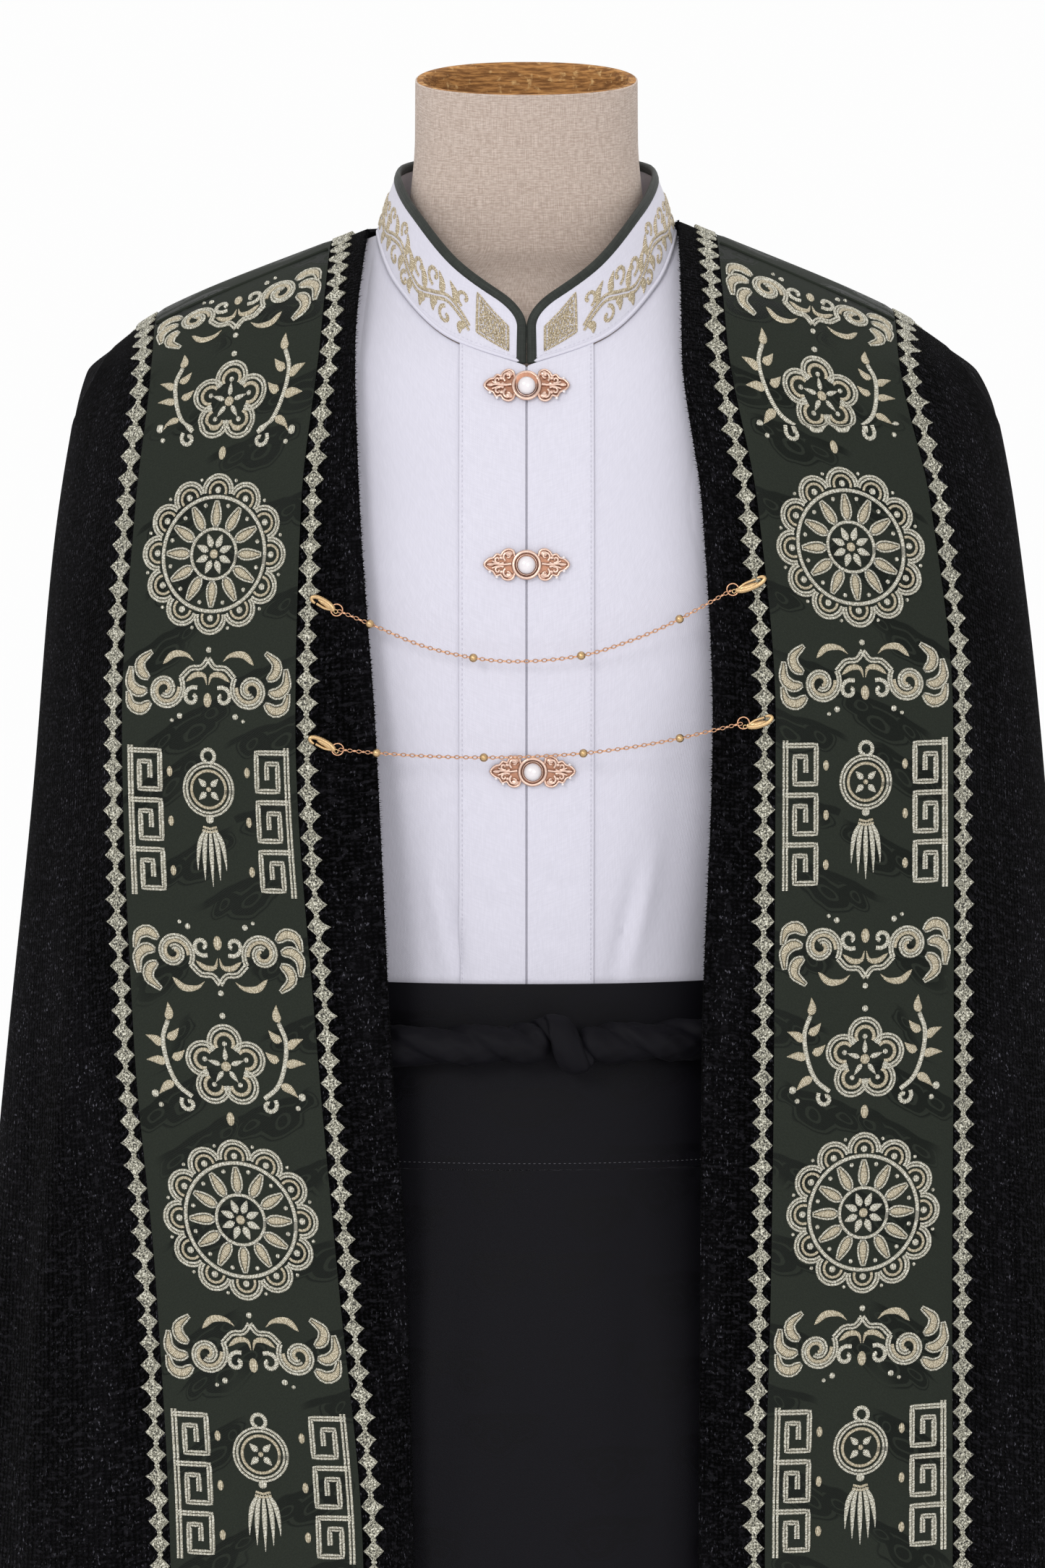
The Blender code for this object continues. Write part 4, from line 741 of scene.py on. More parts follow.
def boucle_tweed(settings):
    """Black acrylic boucle, woven with looped yarn: matt ribs about 2.3 mm apart with pale flecks."""
    finish = Finish("black_boucle_tweed")
    add, speckle = finish.add, finish.speckle
    spot, across, along = finish.cloth_spot()
    loops = speckle(spot, 1.5, 3.0)
    slub = speckle(spot, 4.2, stretch=(0.4, 1, 1))
    rib = finish.stripes(along, 2.3, add("Math", slub, 14.0, **TIMES))
    yarn = finish.stripes(across, 2.6, add("Math", loops, 9.0, **TIMES))
    weave = add("Math", loops, 0.9, add("Math", yarn, 0.45, **TIMES), **TIMES_PLUS)
    height = add("Math", rib, 0.45, weave, **TIMES_PLUS)
    # The yarn's colour follows its height: black in the hollows between ribs and loops, and the tweed colour on the
    # tops. This is painted shade in the hollows of the weave.
    raised = add("MapRange", height, 0.75, 1.55, **SMOOTH)
    base = add("Mix", raised, A_Color=linear("#000000"), B_Color=settings.tweed_colour, **BLEND)
    lumps = add("MapRange", speckle(spot, 2.6, stretch=(0.6, 1, 1)), 0.52, 0.66, **SMOOTH)
    base = add("Mix", add("Math", lumps, 0.5, **TIMES), A_Color=base, B_Color=linear("#232226"), **BLEND)
    # Long lighter streaks at random places down the cloth stand in for the sheen on the cape's folds: painted sheen.
    sheen_streaks = add("MapRange", speckle(spot, 34.0, stretch=(1, 0.22, 1)), 0.38, 0.66, **SMOOTH)
    base = add("Mix", add("Math", sheen_streaks, 0.3, **TIMES), A_Color=base, B_Color=linear("#141316"), **BLEND)
    flecks = add("MapRange", speckle(spot, 1.1, 1.0, (1, 0.5, 1)), 0.60, 0.72, **SMOOTH)
    patches = add("MapRange", speckle(spot, 8.0), 0.40, 0.62, **SMOOTH)
    # The pale flecks show more inside the painted sheen streaks.
    fleck_sheen_share = add("Math", sheen_streaks, 0.7, 0.3, **TIMES_PLUS)
    share = add("Math", add("Math", flecks, patches, **TIMES), fleck_sheen_share, **TIMES)
    colour = add("Mix", share, A_Color=base, B_Color=linear("#58575f"), **BLEND)
    return finish.wear(Base_Color=colour, Roughness=0.95, Sheen_Weight=0.01, Sheen_Roughness=0.5,
                       Specular_IOR_Level=0.02, Normal=add("Bump", Height=height, Distance=0.0016))


def figured_cloth(name, ground, figure, figure_size, gloss, shine):
    """Jacquard: small clouds of satin float on a fine twill, in one hue, so they show as shine.

    The real twill is about 0.4 mm and is drawn at 0.9 mm, as fine as it shows.
    """
    finish = Finish(name)
    add, speckle = finish.add, finish.speckle
    spot, across, along = finish.cloth_spot()
    shrunk = add("VectorMath", spot, (0.8 / figure_size, 1.25 / figure_size, 0.0), operation="MULTIPLY")
    swirl = speckle(spot, figure_size * 0.32, 1.0)
    push = add("CombineXYZ", add("Math", swirl, 0.22, **TIMES), add("Math", swirl, -0.16, **TIMES))
    bent = add("VectorMath", shrunk, push, operation="ADD")
    cells = add("TexVoronoi", Vector=bent, Scale=1.0, Randomness=0.6, voronoi_dimensions="2D", out="Position")
    local = add("VectorMath", bent, cells, operation="SUBTRACT")
    nearest = None
    for x, y, radius in CLOUD_LOBES:
        away = add("VectorMath", local, (x, y, 0.0), operation="DISTANCE", out="Value")
        share = add("Math", away, radius, operation="DIVIDE")
        nearest = share if nearest is None else add("Math", nearest, share, operation="MINIMUM")
    inside = add("MapRange", nearest, 1.05, 0.95, **SMOOTH)
    waves = add("Math", add("Math", nearest, 13.0, **TIMES), operation="SINE")
    rings = add("MapRange", waves, -0.85, -0.45, **SMOOTH)
    parts = add("SeparateXYZ", local).node
    low = add("Math", add("Math", parts.outputs[1], 0.17, **PLUS), operation="ABSOLUTE")
    wide = add("Math", add("Math", parts.outputs[0], -0.08, **PLUS), operation="ABSOLUTE")
    tail = add("Math", add("MapRange", low, 0.060, 0.035, **SMOOTH),
               add("MapRange", wide, 0.46, 0.32, **SMOOTH), **TIMES)
    field = add("MapRange", speckle(spot, figure_size * 1.4, 1.0), 0.34, 0.44, **SMOOTH)
    cloud = add("Math", add("Math", inside, rings, **TIMES), tail, operation="MAXIMUM")
    mask = add("Math", cloud, field, **TIMES)
    twill = finish.stripes(add("Math", across, along, **PLUS), 0.9)
    grain, mottle = speckle(spot, 0.9), speckle(spot, 5.0)
    base = add("Mix", mask, A_Color=ground, B_Color=figure, **BLEND)
    shade = add("Math", add("MapRange", grain, 0.35, 0.65, **SMOOTH), 0.30,
                add("Math", mottle, 0.2, **TIMES), **TIMES_PLUS)
    dull = (*(part * 0.5 for part in ground[:3]), 1.0)
    fine = add("Math", mask, shine, add("Math", grain, 0.6, **TIMES), **TIMES_PLUS)
    height = add("Math", twill, 0.35, fine, **TIMES_PLUS)
    return finish.wear(Base_Color=add("Mix", shade, A_Color=base, B_Color=dull, **BLEND),
                       Roughness=add("Math", mask, -shine, gloss, **TIMES_PLUS), Sheen_Weight=0.01,
                       Sheen_Roughness=0.4, Specular_IOR_Level=0.08,
                       Normal=add("Bump", Height=height, Distance=0.00018))


def plain_weave(name, colour, shade, thread, depth, roughness, sheen):
    """Plain woven cloth: threads over and under, which give a soft, even grain.

    thread is the pitch in millimetres. Real threads are about half as wide, too fine to show.
    """
    finish = Finish(name)
    add, speckle = finish.add, finish.speckle
    spot, across, along = finish.cloth_spot()
    slub = speckle(spot, thread * 9, stretch=(0.25, 1, 1))
    other_slub = speckle(spot, thread * 9, stretch=(1, 0.25, 1))
    weft = finish.stripes(along, thread, add("Math", slub, 4.0, **TIMES))
    warp = finish.stripes(across, thread, add("Math", other_slub, 4.0, **TIMES))
    weave = add("Math", weft, warp, operation="MAXIMUM")
    fine = add("Math", speckle(spot, thread * 1.5, 1.0, (0.12, 1, 1)),
               speckle(spot, thread * 1.5, 1.0, (1, 0.12, 1)), **PLUS)
    share = add("Math", weave, -0.35, add("Math", fine, 0.9, -0.35, **TIMES_PLUS), **TIMES_PLUS)
    tone = add("Mix", add("MapRange", share, -0.1, 0.6, **SMOOTH), A_Color=colour, B_Color=shade, **BLEND)
    height = add("Math", slub, 0.3, weave, **TIMES_PLUS)
    return finish.wear(Base_Color=tone, Roughness=roughness, Sheen_Weight=sheen, Sheen_Roughness=0.35,
                       Specular_IOR_Level=0.3, Normal=add("Bump", Height=height, Distance=depth))


def stitched_thread(name, colour, dark, bright, roughness):
    """Metallic rayon thread laid in satin stitch: shiny strands across each line.

    A real strand is about 0.3 mm and is drawn at 0.8 mm, as fine as it shows.
    """
    finish = Finish(name)
    add = finish.add
    spot, across, along = finish.cloth_spot()
    strand = finish.stripes(across, 0.8, add("Math", along, 0.9, **TIMES))
    glint = finish.speckle(spot, 0.9)
    # The colour is painted dark between the strands and light along them, partly at random, with bright glints on the
    # strand tops: painted shade and painted highlights.
    lit = add("MapRange", add("Math", strand, 0.35, glint, **TIMES_PLUS), 0.42, 0.82, **SMOOTH)
    tone = add("Mix", lit, A_Color=dark, B_Color=colour, **BLEND)
    spark = add("Math", add("MapRange", glint, 0.52, 0.62, **SMOOTH), strand, **TIMES)
    height = add("Math", strand, 0.7, glint, **TIMES_PLUS)
    return finish.wear(Base_Color=add("Mix", spark, A_Color=tone, B_Color=bright, **BLEND), Metallic=0.12,
                       Roughness=add("Math", glint, 0.3, roughness - 0.15, **TIMES_PLUS), Sheen_Weight=0.05,
                       Normal=add("Bump", Height=height, Distance=0.00022))


def open_lace(name, colour, dark, bright):
    """Venise lace: knotted metallic thread with small holes, through which the black cloth shows."""
    finish = Finish(name)
    add = finish.add
    spot = add("VectorMath", add("TexCoord", out="Object"), Scale=1000.0, operation="SCALE")
    knots, threads = finish.speckle(spot, 0.9, 1.0), finish.speckle(spot, 0.5, 1.0)
    tone = add("Mix", add("MapRange", threads, 0.40, 0.62, **SMOOTH), A_Color=dark, B_Color=colour, **BLEND)
    tone = add("Mix", add("MapRange", knots, 0.56, 0.66, **SMOOTH), A_Color=tone, B_Color=bright, **BLEND)
    tone = add("Mix", add("MapRange", knots, 0.43, 0.38, **SMOOTH), A_Color=tone, B_Color=linear("#1d1b17"),
               **BLEND)
    return finish.wear(Base_Color=tone, Metallic=0.12, Roughness=0.55, Sheen_Weight=0.05,
                       Normal=add("Bump", Height=add("Math", knots, threads, **PLUS), Distance=0.0006))


def cast_metal(name, colour, roughness):
    """Zinc alloy, cast and plated: bright, with the ripple of a hand-polished casting."""
    finish = Finish(name)
    ripple = finish.add("TexNoise", Vector=finish.add("TexCoord", out="Object"), Scale=900.0, Detail=2.0)
    rough = finish.add("Math", ripple, 0.2, roughness - 0.1, **TIMES_PLUS)
    return finish.wear(Base_Color=colour, Metallic=1.0, Roughness=rough,
                       Normal=finish.add("Bump", Height=ripple, Distance=0.00012))


def glass_pearl():
    """Glass bead with a pearl coat: creamy, with a clear shine, and painted shade that darkens it towards its rim."""
    finish = Finish("glass_pearl")
    # Painted shade: the colour darkens where the bead's face turns away from the viewer.
    facing = finish.add("LayerWeight", Blend=0.35, out="Facing")
    tone = finish.add("Mix", facing, A_Color=linear("#d5d0d2"), B_Color=linear("#8f8285"), **BLEND)
    return finish.wear(Base_Color=tone, Roughness=0.22, Coat_Weight=0.6, Coat_Roughness=0.08, Sheen_Weight=0.2)


def pressed_paper():
    """Papier-mache: layers of brown pulp pressed in a mould, fibrous and matt."""
    finish = Finish("brown_papier_mache")
    add = finish.add
    place = add("TexCoord", out="Object")
    stretched = add("VectorMath", place, (120.0, 120.0, 900.0), operation="MULTIPLY")
    layers = add("TexNoise", Vector=stretched, Scale=1.0, Detail=4.0)
    pulp = add("TexNoise", Vector=place, Scale=260.0, Detail=4.0)
    tone = add("Mix", add("MapRange", layers, 0.35, 0.7, **SMOOTH), A_Color=linear("#7a5330"),
               B_Color=linear("#b88650"), **BLEND)
    tone = add("Mix", add("MapRange", pulp, 0.55, 0.75, **SMOOTH), A_Color=tone, B_Color=linear("#cfa974"),
               **BLEND)
    return finish.wear(Base_Color=tone, Roughness=0.9, Specular_IOR_Level=0.2,
                       Normal=add("Bump", Height=add("Math", layers, pulp, **PLUS), Distance=0.0009))


def sprayed_steel():
    """Mild steel, spray painted satin grey: an even coat with fine orange peel."""
    finish = Finish("satin_grey_paint")
    peel = finish.add("TexNoise", Vector=finish.add("TexCoord", out="Object"), Scale=700.0, Detail=1.0)
    return finish.wear(Base_Color=linear("#6f6c69"), Coat_Weight=0.2, Coat_Roughness=0.3,
                       Roughness=finish.add("Math", peel, 0.15, 0.38, **TIMES_PLUS),
                       Normal=finish.add("Bump", Height=peel, Distance=0.00006))


@functools.cache
def finishes():
    """Make each material once, and return them by name."""
    settings = bpy.context.scene.cape_set
    made = {
        "tweed": boucle_tweed(settings),
        "jacquard": figured_cloth("dark_green_jacquard", settings.jacquard_colour, linear("#0d110d"), 46.0,
                                  0.72, 0.3),
        "satin": figured_cloth("black_figured_satin", linear("#0c0b10"), linear("#07060a"), 52.0, 0.56, 0.08),
        "paper": pressed_paper(),
        "lace_ground": open_lace("gold_venise_lace", linear("#a8a594"), linear("#5c5a4c"), linear("#dddaca")),
        "pearl": glass_pearl(),
        "steel": sprayed_steel(),
    }
    for key, name, colour, shade, *numbers in (
        ("shirting", "white_shirting", settings.shirt_colour, "#bfbdc8", 0.55, 0.00005, 0.72, 0.4),
        ("piping", "green_bias_binding", linear("#262b26"), "#181c18", 0.6, 0.0001, 0.62, 0.1),
        ("linen", "natural_linen", linear("#d2c2b7"), "#ae9b8e", 0.7, 0.00016, 0.9, 0.12),
        ("white_thread", "white_sewing_thread", linear("#c9c7d2"), "#bbb9c4", 0.4, 0.00005, 0.6, 0.2),
        ("grey_thread", "grey_sewing_thread", linear("#55545a"), "#434247", 0.4, 0.00005, 0.6, 0.1),
    ):
        made[key] = plain_weave(name, colour, linear(shade), *numbers)
    # Each thread: its colour, the painted shade between its strands, its painted glint, and its roughness.
    for key, name, colour, dark, bright, roughness in (
        ("lace", "gold_venise_cord", "#b9b6a5", "#6d6b5c", "#f1efe4", 0.5),
        ("embroidery", "pale_gold_embroidery", "#c0bcab", "#69665a", "#eeece2", 0.5),
        ("satin_stitch", "beige_satin_stitch", "#b1a68d", "#766c56", "#dad2be", 0.45),
        ("collar_thread", "antique_gold_embroidery", "#b5a68a", "#7c6d53", "#e9dfcb", 0.5),
    ):
        made[key] = stitched_thread(name, linear(colour), linear(dark), linear(bright), roughness)
    # The darker second metal is painted shade for the hollows of the frog clasps.
    for key, name, colour, roughness in (
        ("rose_gold", "rose_gold_plate", "#d2b5a6", 0.34), ("shade_gold", "darkened_rose_gold", "#a97d67", 0.5),
        ("chain_gold", "rose_gold_wire", "#c79a7a", 0.30), ("clasp_gold", "pale_gold_plate", "#bb9d74", 0.34),
    ):
        made[key] = cast_metal(name, linear(colour), roughness)
    return made


def spread(*counts):
    """Line numbers with a chosen count of steps between each pair of lines."""
    numbers = [0.0]
    for line, count in enumerate(counts):
        numbers.extend(line + (k + 1) / count for k in range(count))
    return np.array(numbers)


def make_cape():
    columns = spread(7, 4, 1, 24, 1, 4, 18)[None, :]
    for side, word in SIDES:
        points, normals = FRONTS[side].knots(columns, FRONT_ROWS[:, None])
        points[0, :, 1] -= HALF_SEAM
        points[1:, -1, 1] -= HALF_SEAM
        lay_cloth("cape_front_panel_" + word, points, normals, -CAPE_WALL, 0.0, "tweed", "cape_front_" + word)
    rows = np.concatenate([np.linspace(k, k + 1, n + 1)[:-1] for k, n in enumerate(BACK_STEPS)] + [[BACK.last]])
    points, normals = BACK.knots(rows[:, None], np.linspace(-90, -270, 81)[None, :])
    points[:, [0, -1], 1] += HALF_SEAM
    lay_cloth("cape_back_panel", points, normals, -CAPE_WALL, 0.0, "tweed", "cape_back")
    make_fuzz()


def make_fuzz():
    """Loops and loose fibres of the boucle along the two open edges, where the cloth's rim shows."""
    random.seed(7)
    vertices, faces = [], []
    for side, _ in SIDES:
        rows, _ = FRONTS[side].rows_along(EDGE_LINE, 0.0007)
        points, normals = FRONTS[side].knots(np.zeros(len(rows)), rows)
        inward, _ = FRONTS[side].knots(np.full(len(rows), 0.05), rows)
        away = unit(points - inward)
        swell = 0.0
        for number, (point, normal, out) in enumerate(zip(points, normals, away)):
            swell = 0.7 * swell + 0.3 * random.uniform(0.0, 1.0)
            loop = number % 3 == 0
            thick = random.uniform(0.0006, 0.0010) if loop else 0.00022
            reach = 0.0006 + 0.0010 * swell if loop else random.uniform(0.0006, 0.0026)
            start = point - normal * random.uniform(0.0003, CAPE_WALL - 0.0003) - out * 0.0004
            lean = np.array((0, 0, random.uniform(-0.0008, 0.0008))) + normal * random.uniform(-0.0004, 0.0006)
            rise = np.array((0, 0, thick))
            base = len(vertices)
            vertices += [start - rise, start + rise, start + normal * thick * 1.2, start + out * reach + lean]
            faces += [(base, base + 1, base + 3), (base + 1, base + 2, base + 3),
                      (base + 2, base, base + 3), (base, base + 2, base + 1)]
    uv = [(random.uniform(0, 0.05), random.uniform(0, 0.05)) for _ in range(3 * len(faces))]
    piece = make_mesh("cape_edge_fibres", vertices, faces, finishes()["tweed"], uv, smooth=False)
    place_piece(piece)


def make_bands():
    low, high = SEAM_GAP, SEAM_GAP + BAND_WALL
    lines = np.linspace(BAND_IN, BAND_OUT, 25)
    for side, word in SIDES:
        points, normals = FRONTS[side].knots(lines[None, :], FRONT_ROWS[:, None])
        points[0, :, 1] -= HALF_SEAM
        lay_cloth("green_band_" + word, points, normals, low, high, "jacquard", "band_front_" + word,
                  soft=0.9)
        across = np.linspace(BAND_IN + 0.01, BAND_OUT - 0.01, 40)
        seam, out = FRONTS[side].knots(across, 0.16 + 0.10 * (across - BAND_IN))
        roll = Solid()
        roll.tube(seam + out * (high + 0.0001), 0.0010, 8, flat=0.8, up=(0, -0.6, 0.8))
        place_piece(roll.build("band_seam_" + word, finishes()["jacquard"]))
    points, normals = BACK.knots(lines[:, None], np.linspace(-90, -270, 97)[None, :])
    points[:, [0, -1], 1] += HALF_SEAM
    lay_cloth("green_band_back", points, normals, low, high, "jacquard", "band_back", soft=0.9)


def lace_strip(relief, count, pitch, half):
    """Pointed lozenges in a row, tip to tip, each with a raised rim and a small eye."""
    sides = 16
    for number in range(count):
        middle = (number + 0.5) * pitch
        lean = 0.35 * math.sin(number * 2.4)
        swell = 1.0 + 0.05 * math.sin(number * 5.1)
        spots, uv = [], []
        for share, rise in LACE_RINGS:
            for k in range(sides):
                angle = 2 * math.pi * k / sides
                cosine, sine = math.cos(angle), math.sin(angle)
                reach = 1 / (abs(cosine) ** LACE_POINT + abs(sine) ** LACE_POINT) ** (1 / LACE_POINT)
                ragged = share * swell * (1.0 + 0.035 * math.sin(k * 4.3 + number * 1.7))
                spots.append((half * reach * cosine * ragged + lean * share * sine,
                              middle + pitch * 0.52 * reach * sine * ragged, LACE_HEIGHT * rise))
                uv.append((angle * half * 0.7 * MM, share * half * MM))
        marks = [int(ring >= 2) for ring in range(len(LACE_RINGS) - 1) for _ in range(sides)] + [0, 1]
        relief.add(spots, ring_faces(len(LACE_RINGS), sides), uv, marks)
        relief.dome(0.0, number * pitch, 1.5, 1.1, 0.9, 8)


def lay_lace(word, length, surface):
    """One strip of lozenges on a surface. The raised lozenges measure about 0.7 of the strip's area."""
    settings = bpy.context.scene.cape_set
    width = settings.lace_width
    count = round(length / settings.lace_pitch)
    relief = Relief()
    lace_strip(relief, count, length / count / MM, width / 2 / MM)
    piece = relief.build("lace_" + word, surface, [finishes()["lace"], finishes()["lace_ground"]], SEAM_GAP)
    place_piece(piece, ["trim_" + word], (width, length, width * length * 0.7))


def make_trims():
    for side, word in SIDES:
        front = FRONTS[side]
        for name, line in LACE_LINES:
            rows, length = front.rows_along(line, 0.004)
            runs = np.linspace(0, length, len(rows))

            def surface(across, along, line=line, rows=rows, runs=runs, front=front):
                row = np.clip(np.interp(along * MM, runs, rows), 1e-4, 2)
                number = line + across * MM / TRIM_WIDTH
                past = np.maximum(number - OUTER_FAR, 0.0)
                return front.knots(number - past * (1 - PAST_TRIM), row)

            lay_lace(f"{name}_{word}", length, surface)
    for name, row in LACE_LINES:
        turns = np.linspace(-90.6, -269.4, 500)
        runs = run_lengths(CAPE.point(*BACK.place(row, turns)))

        def surface(across, along, row=row, turns=turns, runs=runs):
            return BACK.knots(row + across * MM / TRIM_WIDTH * 0.92, np.interp(along * MM, runs, turns))

        lay_lace(name + "_back", runs[-1], surface)


def arc(x, y, radius, start, end, tall=None):
    """Part of a circle, or of an oval, between two angles in degrees."""
    steps = max(6, int(abs(end - start) / 360 * 2 * math.pi * radius / 1.6))
    angles = np.radians(np.linspace(start, end, steps + 1))
    return np.stack((x + radius * np.cos(angles), y + (tall or radius) * np.sin(angles)), 1)


def curl(x, y, outer, inner, start, end):
    """A spiral that winds in from the outer radius."""
    steps = max(10, int(abs(end - start) / 360 * math.pi * (outer + inner) / 1.5))
    share = np.linspace(0, 1, steps + 1)
    angles = np.radians(start + (end - start) * share)
    radius = outer + (inner - outer) * share ** 0.85
    return np.stack((x + radius * np.cos(angles), y + radius * np.sin(angles)), 1)


def sweep(*points):
    """A smooth line through a few points."""
    knots = np.asarray(points, float)
    knots = np.concatenate((2 * knots[:1] - knots[1:2], knots, 2 * knots[-1:] - knots[-2:-1]))
    line = []
    for a, b, c, d in zip(knots, knots[1:], knots[2:], knots[3:]):
        steps = max(3, int(np.hypot(*(c - b)) / 1.7))
        for k in range(steps):
            t = k / steps
            line.append(0.5 * (2 * b + (c - a) * t + (2 * a - 5 * b + 4 * c - d) * t * t
                               + (3 * b - a - 3 * c + d) * t ** 3))
    line.append(knots[-2])
    return np.array(line)


class Motif:
    """Drawn lines, filled leaves and spots, in millimetres round the motif's own middle."""

    def __init__(self):
        self.lines, self.spots = [], []

    def line(self, points, half=1.35, closed=False, mirror=False, mark=0):
        """A cord of stitches. A broad one is worked as two thin cords side by side."""
        points = np.asarray(points, float)
        if np.ndim(half) == 0 and half > TWIN_FROM:
            along = heading(points, closed)
            side = np.stack((-along[:, 1], along[:, 0]), 1) * (half - TWIN_HALF)
            for shift in (side, -side):
                self.line(points + shift, TWIN_HALF, closed, mirror, mark)
            return
        self.lines.append((points, half, closed, mark))
        if mirror:
            self.lines.append((points * (-1, 1), half, closed, mark))

    def leaf(self, *points, half=2.0, mirror=False, mark=1, edged=False):
        """A filled leaf or plume along a few points, fine at both ends."""
        line = sweep(*points)
        share = np.linspace(0, 1, len(line))
        width = 0.12 + half * np.sin(np.pi * share ** 0.7)
        self.line(line, width, False, mirror, mark)
        if edged:
            along = heading(line)
            side = np.stack((-along[:, 1], along[:, 0]), 1) * (width[:, None] + 0.8)
            self.line(np.concatenate((line + side, (line - side)[::-1])), 0.5, True, mirror)

    def spot(self, x, y, wide, tall=None, mirror=False, mark=0):
        self.spots.append((x, y, wide, tall or wide, mark))
        if mirror:
            self.spots.append((-x, y, wide, tall or wide, mark))

    def stitch(self, relief, along, flip=1, height=0.95):
        for points, half, closed, mark in self.lines:
            relief.ribbon(points * (1, flip) + (0, along), half, height * (1 - 0.2 * mark), closed, mark)
        for x, y, wide, tall, mark in self.spots:
            relief.dome(x, y * flip + along, wide, tall, height, mark=mark)

    def turned(self):
        """The same motif on its side."""
        other = Motif()
        for points, half, closed, mark in self.lines:
            other.line(points[:, ::-1], half, closed, mark=mark)
        for x, y, wide, tall, mark in self.spots:
            other.spot(y, x, tall, wide, mark=mark)
        return other


def cloud_pair():
    """Two curling clouds that face each other over a small drop."""
    motif = Motif()
    motif.line(curl(23, 1, 10.4, 2.6, 215, -300), mirror=True)
    motif.line(curl(23, 1, 7.6, 1.2, 190, -250), 0.9, mirror=True, mark=1)
    motif.line(sweep((14.4, -4.8), (9.4, -9.6), (3.6, -10.2), (0.0, -14.6)), 1.45, mirror=True)
    motif.leaf((11.8, -3.0), (7.0, -6.4), (2.0, -6.0), (0.5, -1.4), half=1.3, mirror=True)
    motif.leaf((31.0, 7.6), (36.0, 11.0), (41.4, 9.0), (43.2, 2.6), half=1.8, mirror=True, edged=True)
    motif.leaf((33.0, 1.8), (38.0, 2.2), (42.2, -1.8), (42.0, -9.6), half=1.8, mirror=True, edged=True)
    motif.leaf((32.2, -4.4), (36.2, -7.2), (36.8, -12.4), (31.0, -17.4), half=1.7, mirror=True, edged=True)
    motif.line(curl(8.2, 4.6, 5.4, 1.2, 240, 600), 1.1, mirror=True)
    motif.leaf((24.5, -11.5), (19.0, -16.4), (12.0, -16.2), (8.0, -13.2), half=1.6, mirror=True)
    motif.spot(0, 6.0, 2.2, 3.6, mark=1)
    motif.spot(0, -18.8, 1.5)
    motif.spot(15.0, 14.0, 1.5, mirror=True)
    motif.spot(19.2, 16.2, 1.0, mirror=True)
    return motif


def flower_roundel():
    """A round chrysanthemum: scalloped ring, two rows of filled petals and a beaded heart."""
    motif = Motif()
    for k in range(12):
        angle = 30 * k
        c, s = ray(angle)
        motif.line(arc(31.0 * c, 31.0 * s, 7.6, angle - 100, angle + 100), 1.35)
        motif.line(arc(31.0 * c, 31.0 * s, 4.6, angle - 110, angle + 110), 0.7, mark=1)
        motif.leaf((13.6 * c, 13.6 * s), (19.0 * c, 19.0 * s), (26.0 * c, 26.0 * s), half=1.7, edged=True)
        motif.spot(31.6 * c, 31.6 * s, 1.7)
        c, s = ray(angle + 15)
        motif.spot(24.6 * c, 24.6 * s, 1.1)
        motif.spot(37.6 * c, 37.6 * s, 0.9)
    motif.line(arc(0, 0, 28.2, 0, 350), 0.95, closed=True)
    motif.line(arc(0, 0, 12.4, 0, 345), 0.8, closed=True)
    for k in range(8):
        c, s = ray(45 * k + 22)
        motif.leaf((3.4 * c, 3.4 * s), (7.0 * c, 7.0 * s), (10.6 * c, 10.6 * s), half=1.7, mark=0)
    motif.spot(0, 0, 2.3, mark=1)
    return motif


def fret_and_coin():
    """Square key scrolls down both sides of a round coin with a tassel."""
    motif = Motif()
    motif.line([(42.0, y) for y in range(-37, 38, 2)], 1.5, mirror=True)
    for y in (24.5, 0, -24.5):
        corners = [(42.0, y + 10), (26.0, y + 10), (26.0, y - 9), (37.2, y - 9), (37.2, y + 4.6), (31.4, y + 4.6),
                   (31.4, y - 3.4)]
        dense = []
        for one, other in zip(corners, corners[1:]):
            steps = max(2, int(math.dist(one, other) / 2))
            dense += [np.array(one) + (np.array(other) - one) * k / steps for k in range(steps)]
        motif.line(dense + [np.array(corners[-1])], 1.35, mirror=True)
        motif.spot(20.8, y, 1.5, 2.6, mirror=True, mark=1)
    motif.line(arc(0, 16, 12.4, 0, 350), 1.45, closed=True)
    motif.line(arc(0, 16, 9.2, 0, 345), 0.75, closed=True, mark=1)
    for k in range(4):
        c, s = ray(90 * k + 45)
        motif.leaf((2.0 * c, 16 + 2.0 * s), (4.6 * c, 16 + 4.6 * s), (7.4 * c, 16 + 7.4 * s), half=1.5, mark=0)
    motif.spot(0, 16, 1.3, mark=1)
    motif.spot(0, 1.2, 2.1)
    motif.line(curl(0, 32.4, 3.8, 3.0, -70, 250), 1.0)
    for x, end in ((-7.2, -24), (-3.8, -29), (0, -32), (3.8, -29), (7.2, -24)):
        motif.leaf((x * 0.35, -3.6), (x * 0.8, -10.0), (x, -18.0), (x * 1.05, end), half=1.1, mark=0)
    motif.line([(-3.8, -3.4), (0, -4.4), (3.8, -3.4)], 1.5, mark=1)
    return motif


